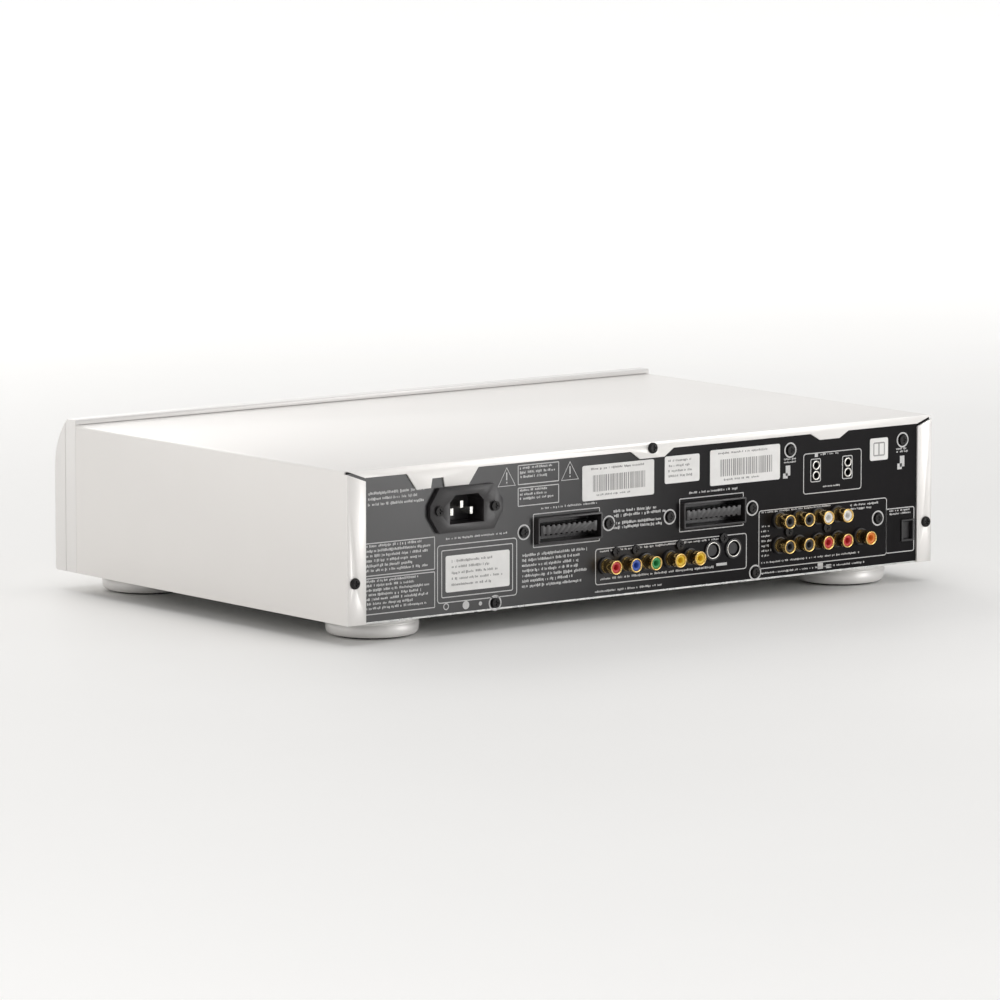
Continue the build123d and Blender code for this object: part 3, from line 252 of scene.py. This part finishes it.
def arc(middle, radius, start, stop, steps=8):
    """Points of an arc in the plane of a profile, from one angle to another in degrees."""
    turn = np.radians(np.linspace(start, stop, steps))
    return np.column_stack([middle[0] + radius * np.cos(turn), middle[1] + radius * np.sin(turn)])


toe = 3.0 * mm
waist_depth = 0.7 * mm
waist_z = foot_high.z - 3.2 * mm
bore = 5.0 * mm
rim_round = 0.6 * mm
pad_seat_z = foot_low.z + 2.2 * mm
pad_seat_radius = 20.95 * mm
foot_profile = np.concatenate([
    [[bore, pad_seat_z], [pad_seat_radius, pad_seat_z], [pad_seat_radius, foot_low.z]],
    arc((foot_radius - toe - 0.9 * mm, foot_low.z + toe), toe, -90, -8),
    [[foot_radius - 0.5 * mm, waist_z - 1.0 * mm], [foot_radius - waist_depth - 0.4 * mm, waist_z - 0.5 * mm],
     [foot_radius - waist_depth - 0.4 * mm, waist_z + 0.3 * mm]],
    arc((foot_radius - rim_round, waist_z + 1.2 * mm), rim_round, -60, 0, 4),
    arc((foot_radius - rim_round, foot_high.z - 0.7 * mm), rim_round, 0, 90, 5),
    [[bore, foot_high.z]], [[bore, pad_seat_z]]])
feet = surface_object("feet_turned", *joined([turned(foot_profile, x, y) for x, y in foot_places]),
                      material=silver_plastic)
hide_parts("feet")
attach(feet, "case")


def cad_finish(node, material):
    """Gives a CAD piece its finish."""
    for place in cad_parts[node].material_slots:
        place.material = material


cad_finish("foot_pads", foot_rubber)
cad_finish("foot_screws", black_screws)

# --- Chassis pan, inner front plate and boards ----------------------------------------------------
# Zinc-plated steel sheet, pressed and folded, with the crystalline bloom that plating leaves. The
# boards are green glass-epoxy on pressed-in posts, with the larger components as cans and blocks.
zinc = finish_material("zinc_sheet", (0.62, 0.62, 0.60), 0.30, metallic=0.9, second=(0.50, 0.51, 0.51),
                       mottle_scale=180.0, rough_spread=0.12)
board_green = finish_material("circuit_board", (0.030, 0.16, 0.055), 0.32, second=(0.022, 0.12, 0.042),
                              mottle_scale=420.0, grain_scale=900.0, grain_depth=0.00003, coat=0.4)
steel = finish_material("nickel_steel", (0.66, 0.65, 0.62), 0.20, metallic=1.0, mottle_scale=300.0)
for node in ("chassis_pan", "sub_panel", "clamp_bridge", "traverse_deck"):
    cad_finish(node, zinc)
for node in ("front_board", "power_board", "main_board", "output_board"):
    cad_finish(node, board_green)
for node in ("board_standoffs", "guide_rods", "hinge_pins", "leadscrew", "spindle_motor",
             "loading_motor", "sled_motor", "inlet_pins"):
    cad_finish(node, steel)
cad_finish("transformer", finish_material("core_steel", (0.10, 0.085, 0.075), 0.45, metallic=0.5,
                                          second=(0.22, 0.15, 0.07), mottle_scale=45.0))
cad_finish("capacitors", finish_material("capacitor_sleeve", (0.018, 0.018, 0.05), 0.22, coat=0.5))
cad_finish("heat_sink", finish_material("heat_sink_metal", (0.16, 0.16, 0.17), 0.42, metallic=0.8))
cad_finish("front_ribbon_cable", finish_material("ribbon_white", (0.74, 0.74, 0.71), 0.5))

# --- Rear panel ------------------------------------------------------------------------------------
# One steel sheet, painted black with a fine orange-peel, then screen-printed in pale grey ink: rules,
# frames round the groups of sockets, rings round the earth screws and rows of plain strokes. The ink
# stands a few hundredths of a millimetre proud. The paint's specular level rises towards the mains
# inlet: a painted reflection, standing in for light reflected on that end of the panel.
black_paint = finish_material("black_paint", (0.006, 0.005, 0.006), 0.34, second=(0.004, 0.0035, 0.004),
                              grain_scale=1400.0, grain_depth=0.00002, rough_spread=0.04)
paint_nodes = black_paint.node_tree.nodes
paint_links = black_paint.node_tree.links
paint_place = next(node for node in paint_nodes if node.type == "TEX_COORD")
paint_axes = paint_nodes.new("ShaderNodeSeparateXYZ")
paint_links.new(paint_place.outputs["Object"], paint_axes.inputs["Vector"])
# Painted reflection: the specular level eases up along X towards the mains inlet, in place of the light
# reflected there.
painted_sheen_off_x, painted_sheen_full_x = -0.06, 0.20
painted_sheen_low, painted_sheen_high = 0.10, 1.0
painted_sheen = smooth_ramp(paint_nodes, painted_sheen_off_x, painted_sheen_full_x, painted_sheen_low, painted_sheen_high)
paint_links.new(paint_axes.outputs["X"], painted_sheen.inputs["Value"])
paint_links.new(painted_sheen.outputs["Result"], paint_nodes["Principled BSDF"].inputs["Specular IOR Level"])
cad_finish("rear_panel", black_paint)
panel_face_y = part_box("rear_panel")[1].y
side_x = cad_high.x
pan_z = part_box("chassis_pan")[0].z
ink_height = 0.06 * mm


def on_panel(across, up, proud):
    """Points on the rear panel from millimetres across, from its left edge seen from behind, and up."""
    across = np.asarray(across, dtype=float)
    up = np.asarray(up, dtype=float)
    return np.stack([side_x - across * mm, np.full(across.shape, panel_face_y + proud), pan_z + up * mm],
                    axis=-1)


def flat_quads(corners, proud):
    """Flat four-sided marks: corners is an array of marks, four corners and two distances."""
    corners = np.asarray(corners, dtype=float).reshape(-1, 4, 2)
    points = on_panel(corners[:, :, 0], corners[:, :, 1], proud)
    return points.reshape(-1, 3), np.arange(len(corners) * 4).reshape(-1, 4)


def boxes(rows):
    """The corners of upright rectangles given as left, right, low and high, turned to face out."""
    left, right, low, high = np.asarray(rows, dtype=float).reshape(-1, 4).T
    return np.stack([np.column_stack([left, low]), np.column_stack([right, low]),
                     np.column_stack([right, high]), np.column_stack([left, high])], axis=1)


def band(outline, width):
    """A stroke of even width along a closed outline: quads between it and its inset copy."""
    outline = np.asarray(outline, dtype=float)
    along = np.roll(outline, -1, axis=0) - np.roll(outline, 1, axis=0)
    along /= np.linalg.norm(along, axis=1, keepdims=True)
    inward = np.column_stack([-along[:, 1], along[:, 0]]) * width
    inner = outline + inward
    return np.stack([outline, np.roll(outline, -1, axis=0), np.roll(inner, -1, axis=0), inner], axis=1)


def rounded(left, right, low, high, corner):
    """The outline of a rectangle with quarter-round corners, counter-clockwise."""
    corners = ((right - corner, low + corner, -90), (right - corner, high - corner, 0),
               (left + corner, high - corner, 90), (left + corner, low + corner, 180))
    return np.concatenate([arc((x, y), corner, start, start + 90, 6) for x, y, start in corners])


def ring_band(across, up, radius, width):
    """A printed ring."""
    return band(arc((across, up), radius, 0, 345, 24), width)


marks = np.random.default_rng(7)


def stroke_rows(left, right, low, high, pitch, height, fill=0.72):
    """Rows of tiny uneven strokes in clumps, like lines of small print seen from across a room."""
    strokes = []
    for row in np.arange(high - height, low - 1e-6, -pitch):
        count = int((right - left) / 0.5) + 8
        lengths = marks.uniform(0.22, 0.85, count)
        gaps = np.where(marks.random(count) < 0.17, marks.uniform(0.8, 1.7, count),
                        marks.uniform(0.14, 0.34, count))
        starts = left + marks.uniform(0.0, 0.5) + np.cumsum(lengths + gaps) - lengths - gaps
        ends = starts + lengths
        keep = ends < left + (right - left) * marks.uniform(fill, 1.0)
        foot = row + height * np.where(marks.random(count) < 0.12, -0.18, marks.uniform(0.0, 0.16, count))
        head = row + height * np.where(marks.random(count) < 0.35, 1.0, marks.uniform(0.62, 0.86, count))
        strokes.append(np.column_stack([starts, ends, foot, head])[keep])
    return boxes(np.concatenate(strokes))


frames_at = [
    (178.6, 292.0, 7.5, 28.8, 2.0), (301.0, 400.0, 6.2, 41.0, 2.0), (399.4, 421.6, 7.0, 34.0, 1.5),
    (335.0, 380.0, 47.7, 72.0, 2.0), (64.0, 121.5, 7.0, 40.5, 2.2), (67.0, 118.5, 10.0, 37.5, 1.2),
    (122.0, 152.0, 58.0, 69.0, 0.6), (122.0, 152.0, 70.5, 82.0, 0.6), (10.5, 62.5, 5.0, 26.0, 0.6),
    (10.5, 62.5, 27.0, 46.0, 0.6), (340.5, 348.5, 54.5, 68.5, 1.2), (365.0, 373.0, 54.5, 68.5, 1.2),
    (133.0, 182.0, 33.2, 53.0, 0.8), (241.0, 289.5, 33.2, 53.0, 0.8)]
ringed = [(126.4, 43.0), (188.6, 43.0), (233.9, 43.0), (296.1, 43.0), (325.0, 75.0), (412.0, 74.5),
          (393.0, 29.0), (105.6, 4.0), (298.5, 4.7)]
print_rows = [
    (12.0, 60.0, 6.5, 25.0, 2.6, 1.5), (12.0, 60.0, 28.2, 45.0, 2.8, 1.6), (15.0, 58.0, 64.0, 75.0, 3.2, 1.7),
    (123.5, 150.5, 59.5, 68.0, 2.4, 1.4), (123.5, 150.5, 72.0, 81.0, 2.6, 1.5),
    (125.0, 176.0, 9.0, 30.5, 3.0, 1.7), (192.0, 231.0, 46.0, 50.5, 2.6, 1.7),
    (192.0, 231.0, 38.5, 43.5, 2.6, 1.7), (182.0, 290.0, 24.8, 27.6, 3.2, 1.2),
    (182.0, 290.0, 9.0, 11.5, 3.2, 1.3), (303.0, 370.0, 39.0, 40.2, 2.0, 1.0),
    (303.0, 398.0, 7.6, 10.4, 2.2, 1.1), (371.0, 396.0, 35.5, 39.0, 2.2, 1.2),
    (402.0, 420.0, 29.5, 33.0, 1.9, 1.1),
    (348.0, 367.0, 69.0, 71.2, 2.0, 1.1), (350.0, 364.0, 49.0, 52.0, 2.0, 1.1),
    (303.0, 311.0, 12.0, 32.0, 2.9, 1.2),
    (139.0, 180.0, 54.2, 56.4, 2.4, 1.3), (248.0, 288.0, 54.2, 56.4, 2.4, 1.3),
    (70.0, 118.0, 42.0, 44.4, 2.2, 1.2),
    (320.0, 330.0, 66.5, 70.5, 1.9, 1.2), (407.0, 417.0, 66.5, 70.0, 1.8, 1.2),
    (178.0, 232.0, 2.2, 4.4, 2.2, 1.2),
    (303.0, 392.0, 2.4, 4.2, 2.2, 1.1)]
solid_marks = boxes([
    (321.5, 325.0, 60.0, 66.0), (319.5, 323.0, 58.5, 61.5), (410.0, 413.5, 58.5, 65.0),
    (408.0, 411.5, 57.0, 60.5),
    (346.5, 350.5, 2.4, 6.0), (353.0, 357.0, 2.4, 4.6), (269.0, 277.0, 11.0, 12.6),
    (343.8, 346.2, 69.4, 71.4)])
triangle_shifts = (0.0, 46.0)
triangles = [np.array([(114.0 + shift, 81.5), (107.5 + shift, 70.5), (120.5 + shift, 70.5)])
             for shift in triangle_shifts]
frame_width = 0.55
triangle_width = 0.7
screw_ring_radius = 4.6
screw_ring_width = 0.9
strokes = [np.concatenate([stroke_rows(*row) for row in print_rows]), solid_marks]
strokes += [band(rounded(*outline), frame_width) for outline in frames_at]
strokes += [ring_band(across, up, screw_ring_radius, screw_ring_width) for across, up in ringed]
strokes += [band(corners, triangle_width) for corners in triangles]
strokes += [boxes([(113.6 + shift, 114.4 + shift, 74.0, 78.5), (113.6 + shift, 114.4 + shift, 72.2, 73.1)])
            for shift in triangle_shifts]
strokes += [ring_band(70.4, 5.0, 2.0, 0.6), ring_band(84.6, 4.6, 2.4, 2.3), ring_band(95.0, 4.6, 1.2, 1.1)]
grey_ink = finish_material("grey_ink", (0.62, 0.615, 0.61), 0.5, second=(0.52, 0.515, 0.51),
                           mottle_scale=900.0)
panel_print = surface_object("panel_print", *flat_quads(np.concatenate(strokes), ink_height),
                             material=grey_ink, smooth=False)
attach(panel_print, "case")

# --- Stickers ---------------------------------------------------------------------------------------
# Paper-faced stickers with round corners, pressed on after assembly: two wide ones with bars, a small
# one between them, a pale square patch and the framed style label low on the left.
paper = finish_material("sticker_paper", (0.84, 0.83, 0.81), 0.55, second=(0.78, 0.77, 0.75),
                        mottle_scale=140.0, grain_scale=2200.0, grain_depth=0.000015)
sticker_ink = finish_material("sticker_ink", (0.30, 0.29, 0.29), 0.6, second=(0.38, 0.37, 0.36))
sticker_height = 0.18 * mm
stickers_at = [(169.0, 222.0, 57.2, 77.8), (230.0, 256.0, 62.5, 78.5), (264.0, 317.0, 58.5, 79.5),
               (70.0, 116.0, 13.0, 34.0), (386.5, 400.5, 63.7, 77.0)]


def sticker(left, right, low, high, corner=1.2):
    """A rounded flat sheet with a low edge all round: a fan of its outline and its wall."""
    outline = rounded(left, right, low, high, corner)
    count = len(outline)
    top = on_panel(outline[:, 0], outline[:, 1], sticker_height)
    foot = on_panel(outline[:, 0], outline[:, 1], 0.0)
    around = np.arange(count)
    onward = (around + 1) % count
    walls = np.stack([around + count, onward + count, onward, around], axis=1).tolist()
    return np.concatenate([top, foot]), [list(range(count))] + walls


sheets = surface_object("sticker_sheets", *joined([sticker(*place) for place in stickers_at]),
                        material=paper, smooth=False)
bar_count = 34
bars = []
for left, right, low, high in (stickers_at[0], stickers_at[2]):
    widths = marks.uniform(0.35, 1.1, bar_count)
    starts = left + 7.0 + np.cumsum(widths + marks.uniform(0.35, 0.9, bar_count)) - widths
    keep = starts + widths < right - 6.0
    bars.append(boxes(np.column_stack([starts[keep], (starts + widths)[keep], np.full(keep.sum(), low + 5.0),
                                       np.full(keep.sum(), high - 6.0)])))
    bars.append(stroke_rows(left + 6.0, right - 6.0, high - 4.6, high - 1.6, 2.4, 1.3))
    bars.append(stroke_rows(left + 10.0, right - 10.0, low + 1.6, low + 3.6, 2.4, 1.1))
small_left, small_right, small_low, small_high = stickers_at[1]
bars.append(stroke_rows(small_left + 2.5, small_right - 2.5, small_low + 2.5, small_high - 2.0, 3.0, 1.4))
style_left, style_right, style_low, style_high = stickers_at[3]
bars.append(stroke_rows(style_left + 4.0, style_right - 4.0, style_low + 2.5, style_high - 2.5, 3.4, 1.5))
patch_left, patch_right, patch_low, patch_high = stickers_at[4]
bars.append(band(rounded(patch_left + 2.5, patch_right - 2.5, patch_low + 2.5, patch_high - 2.5, 1.0), 0.8))
bars.append(boxes([(patch_left + 6.4, patch_left + 7.4, patch_low + 3.0, patch_high - 3.0)]))
sticker_print = surface_object(
    "sticker_print", *flat_quads(np.concatenate(bars), sticker_height + ink_height),
    material=sticker_ink, smooth=False)
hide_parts("rear_labels")
for piece in (sheets, sticker_print):
    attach(piece, "case")

# --- Phono jacks ------------------------------------------------------------------------------------
# Each jack is a gold-plated brass barrel, rolled over at its mouth, on a black insulating collar with a
# rounded edge. Inside it a ring of coloured plastic round the centre contact shows which plug fits.
gold = finish_material("gold_plate", (0.94, 0.68, 0.27), 0.17, metallic=1.0, second=(0.84, 0.55, 0.18),
                       mottle_scale=260.0)
black_plastic = finish_material("black_plastic", (0.018, 0.017, 0.018), 0.42, grain_scale=2600.0,
                                grain_depth=0.00002)
tip_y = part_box("jack_barrels")[1].y
barrel_radius = 4.15 * mm
collar_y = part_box("jack_blocks")[1].y
jack_pitch = 14.8
video_up = 18.5
audio_low, audio_high = 19.4, 34.3
video_row = [(186.0 + jack_pitch * i, video_up) for i in range(3)] + [(233.8, video_up), (248.6, video_up)]
audio_row = [(316.5 + jack_pitch * i, up) for up in (audio_high, audio_low) for i in range(4)]
audio_row += [(379.0, audio_low)]
jack_colours = {
    "red": (0.55, 0.030, 0.035), "blue": (0.040, 0.10, 0.45), "green": (0.030, 0.30, 0.09),
    "yellow": (0.80, 0.52, 0.020), "black": (0.020, 0.020, 0.022), "white": (0.78, 0.77, 0.74),
    "orange": (0.75, 0.20, 0.020)}
video_colours = ["red", "blue", "green", "yellow", "yellow"]
audio_colours = ["black", "black", "white", "white", "black", "black", "red", "red", "orange"]


def facing(profile, across, up, around=40):
    """Points and faces of a profile of radius and depth, carried round an axis square to the panel."""
    profile = np.asarray(profile)
    turn = np.linspace(0, 2 * pi, around, endpoint=False)
    hub = on_panel(across, up, 0.0)
    points = np.stack([hub[0] + np.outer(profile[:, 0], np.sin(turn)),
                       np.repeat(profile[:, 1:2], around, axis=1),
                       hub[2] + np.outer(profile[:, 0], np.cos(turn))], axis=2)
    return points.reshape(-1, 3), ring_faces(len(profile), around)


lip = 0.45 * mm
mouth_radius = 3.35 * mm
barrel_profile = np.concatenate([
    [[barrel_radius - 0.02 * mm, collar_y - 0.6 * mm], [barrel_radius - 0.02 * mm, collar_y + 1.2 * mm],
     [barrel_radius - 0.25 * mm, collar_y + 1.5 * mm], [barrel_radius - 0.25 * mm, collar_y + 1.8 * mm],
     [barrel_radius - 0.02 * mm, collar_y + 2.1 * mm]],
    arc((barrel_radius - lip, tip_y - lip), lip, 0, 90, 6),
    [[mouth_radius, tip_y - 0.25 * mm], [mouth_radius, tip_y - 2.6 * mm],
     [mouth_radius - 0.3 * mm, tip_y - 2.8 * mm]]])
insert_profile = [[mouth_radius - 0.05 * mm, tip_y - 3.2 * mm], [mouth_radius - 0.05 * mm, tip_y - 0.9 * mm],
                  [mouth_radius - 0.35 * mm, tip_y - 0.6 * mm], [2.0 * mm, tip_y - 0.6 * mm],
                  [1.65 * mm, tip_y - 0.9 * mm], [1.6 * mm, tip_y - 6.0 * mm], [0.05 * mm, tip_y - 6.0 * mm]]
collar_profile = np.concatenate([
    [[5.0 * mm, panel_face_y], [5.0 * mm, collar_y - 0.4 * mm]],
    arc((4.6 * mm, collar_y - 0.4 * mm), 0.4 * mm, 0, 90, 4), [[barrel_radius, collar_y]]])
all_jacks = list(zip(video_row + audio_row, video_colours + audio_colours))
barrels = surface_object(
    "jack_barrels_plated", *joined([facing(barrel_profile, *place) for place, _ in all_jacks]), material=gold)
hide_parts("jack_barrels")
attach(barrels, "case")
for colour, tone in jack_colours.items():
    plastic = finish_material(f"jack_{colour}", tone, 0.34, mottle_scale=300.0)
    places = [place for place, name in all_jacks if name == colour]
    rings = surface_object(f"jack_rings_{colour}",
                           *joined([facing(insert_profile, *place) for place in places]), material=plastic)
    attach(rings, "case")
collars = surface_object(
    "jack_collars", *joined([facing(collar_profile + np.array([0.06 * mm, 0.05 * mm]), *place)
                             for place, _ in all_jacks]), material=black_plastic)
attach(collars, "case")
cad_finish("jack_blocks", black_plastic)

# --- Other sockets -----------------------------------------------------------------------------------
# Moulded sockets pushed through the panel from behind. Their edges are broken a little by the tool
# they come from. The mini-DIN and 3.5 mm sockets have a bright ring, and the blades are plated.


def eased(node, body, material, width, name):
    """A copy of a CAD piece with its doubled points merged and its edges broken by a small bevel."""
    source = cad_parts[node]
    shape = bmesh.new()
    shape.from_mesh(source.data)
    bmesh.ops.remove_doubles(shape, verts=shape.verts, dist=0.00001)
    bmesh.ops.dissolve_limit(shape, angle_limit=radians(0.4), verts=shape.verts, edges=shape.edges)
    mesh = bpy.data.meshes.new(name)
    shape.to_mesh(mesh)
    shape.free()
    mesh.polygons.foreach_set("use_smooth", np.full(len(mesh.polygons), True))
    mesh.materials.clear()
    mesh.materials.append(material)
    piece = bpy.data.objects.new(name, mesh)
    bpy.context.scene.collection.objects.link(piece)
    bevel = piece.modifiers.new("eased_edges", "BEVEL")
    bevel.width = width
    bevel.segments = 2
    bevel.limit_method = "ANGLE"
    bevel.angle_limit = radians(40)
    bevel.harden_normals = True
    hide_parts(node)
    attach(piece, body)
    return piece


moulded_edge = 0.30 * mm
key_edge = 0.20 * mm
socket_black = finish_material("socket_black", (0.020, 0.018, 0.019), 0.34, grain_scale=1900.0,
                               grain_depth=0.000018, coat=0.1)
eased("mains_inlet", "case", socket_black, 0.35 * mm, "mains_inlet_moulding")
eased("av_sockets", "case", socket_black, 0.12 * mm, "av_socket_mouldings")
for node in ("svideo_sockets", "remote_jacks", "optical_socket", "optical_shutter"):
    cad_finish(node, black_plastic)
bright_ring = finish_material("socket_rings", (0.70, 0.68, 0.64), 0.24, metallic=1.0, mottle_scale=260.0)
svideo_at = [(266.0, 20.5), (281.5, 20.5)]
remote_at = [(across, up) for across in (344.5, 369.0) for up in (64.6, 58.5)]
svideo_face_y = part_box("svideo_sockets")[1].y
remote_face_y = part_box("remote_jacks")[1].y


def mouth_ring(outer, inner, face_y, rise):
    """The profile of a thin raised ring round a socket's mouth."""
    middle = (outer + inner) / 2
    half = (outer - inner) / 2
    crown = arc((middle, face_y), half, 0, 180, 9)
    crown[:, 1] = face_y + (crown[:, 1] - face_y) * rise / half
    return crown


rings = [facing(mouth_ring(5.0 * mm, 4.3 * mm, svideo_face_y, 0.25 * mm), *place) for place in svideo_at]
rings += [facing(mouth_ring(2.8 * mm, 1.9 * mm, remote_face_y, 0.3 * mm), *place, 28) for place in remote_at]
socket_rings = surface_object("socket_mouth_rings", *joined(rings), material=bright_ring)
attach(socket_rings, "case")
for node in ("cover_screws", "panel_screws"):
    cad_finish(node, black_screws)

# --- Top cover ---------------------------------------------------------------------------------------
# One folded steel sheet, powder-coated silver-white. The coat has a very fine metallic sparkle and a
# faint orange-peel, and the sheet laps the rear panel with tabbed flanges.
silver_paint = finish_material("silver_paint", (0.845, 0.825, 0.80), 0.38, metallic=0.30,
                               second=(0.833, 0.813, 0.788), mottle_scale=14.0, grain_scale=5200.0,
                               grain_depth=0.000010, rough_spread=0.03, coat=0.12)
eased("top_cover", "case", silver_paint, moulded_edge, "cover_sheet")

# --- Front mouldings ---------------------------------------------------------------------------------
# A moulded front with a bowed upper edge and a matching bezel behind it, both in the same satin
# silver. The window is smoked acrylic, and the keys and the drawer's cap are moulded and painted.
eased("front_fascia", "case", silver_plastic, moulded_edge, "front_moulding")
eased("bezel_frame", "case", silver_plastic, moulded_edge, "bezel_moulding")
eased("tray_cap", "tray", silver_plastic, moulded_edge, "drawer_cap")
for key in ("power_button", "open_close_button", "stop_button", "play_button", "skip_back_button",
            "skip_forward_button"):
    eased(key, key, silver_plastic, key_edge, f"{key}_cap")
# Each key carries one small printed mark: a broken ring, an arrow over a bar, a square or arrows.
key_ink = finish_material("key_ink", (0.16, 0.16, 0.165), 0.5, mottle_scale=900.0)
key_ring = arc((0.0, 0.0), 0.46, 125, 415, 20)
key_shapes = {
    "power_button": [np.array([(-0.05, 0.1), (0.05, 0.1), (0.05, 0.62), (-0.05, 0.62)])]
    + list(np.stack([key_ring[:-1], 0.8 * key_ring[:-1], 0.8 * key_ring[1:], key_ring[1:]], axis=1)[:, ::-1]),
    "open_close_button": [np.array([(-0.45, -0.1), (0.45, -0.1), (0.0, 0.45)]),
                          np.array([(-0.45, -0.4), (0.45, -0.4), (0.45, -0.24), (-0.45, -0.24)])],
    "stop_button": [np.array([(-0.36, -0.36), (0.36, -0.36), (0.36, 0.36), (-0.36, 0.36)])],
    "play_button": [np.array([(-0.26, -0.38), (0.4, 0.0), (-0.26, 0.38)])],
    "skip_back_button": [np.array([(-0.3, 0.0), (0.35, -0.36), (0.35, 0.36)]),
                         np.array([(-0.45, -0.36), (-0.32, -0.36), (-0.32, 0.36), (-0.45, 0.36)])],
    "skip_forward_button": [np.array([(0.3, 0.0), (-0.35, 0.36), (-0.35, -0.36)]),
                            np.array([(0.32, -0.36), (0.45, -0.36), (0.45, 0.36), (0.32, 0.36)])]}
for key, shapes in key_shapes.items():
    key_low, key_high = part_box(key)
    middle = (key_low + key_high) / 2
    reach_out = (key_high.x - key_low.x) / 2 - 1.2 * mm
    corners = [np.column_stack([middle.x + reach_out * shape[:, 0],
                                np.full(len(shape), key_low.y - 0.015 * mm),
                                middle.z + reach_out * shape[:, 1]]) for shape in shapes]
    symbol = surface_object(f"{key}_mark", *joined([(points, [range(len(points))]) for points in corners]),
                            material=key_ink, smooth=False)
    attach(symbol, key)
smoke = finish_material("smoke_window", (0.010, 0.011, 0.014), 0.06, rough_spread=0.02, coat=0.8)
eased("display_window", "case", smoke, 0.25 * mm, "window_pane")
cad_finish("display_module", smoke)

# --- Drawer and mechanism ----------------------------------------------------------------------------
# The drawer and the loader are moulded in fine-textured black plastic; gears and slider are off-white
# acetal; the belt is rubber. The turntable is turned aluminium under a rubber ring.
acetal = finish_material("white_plastic", (0.72, 0.70, 0.64), 0.36, mottle_scale=120.0)
turned_aluminium = finish_material("turned_aluminium", (0.72, 0.72, 0.73), 0.24, metallic=1.0)
lens_glass = finish_material("lens_glass", (0.10, 0.14, 0.30), 0.05, coat=1.0)
for node in ("disc_tray", "loader_frame", "pickup_sled", "lens_holder", "clamper_cap"):
    cad_finish(node, black_plastic)
for node in ("tray_gear", "pulley_gear", "motor_pulley", "cam_slider", "clamper"):
    cad_finish(node, acetal)
cad_finish("turntable", turned_aluminium)
cad_finish("objective_lens", lens_glass)
cad_finish("drive_belt", foot_rubber)
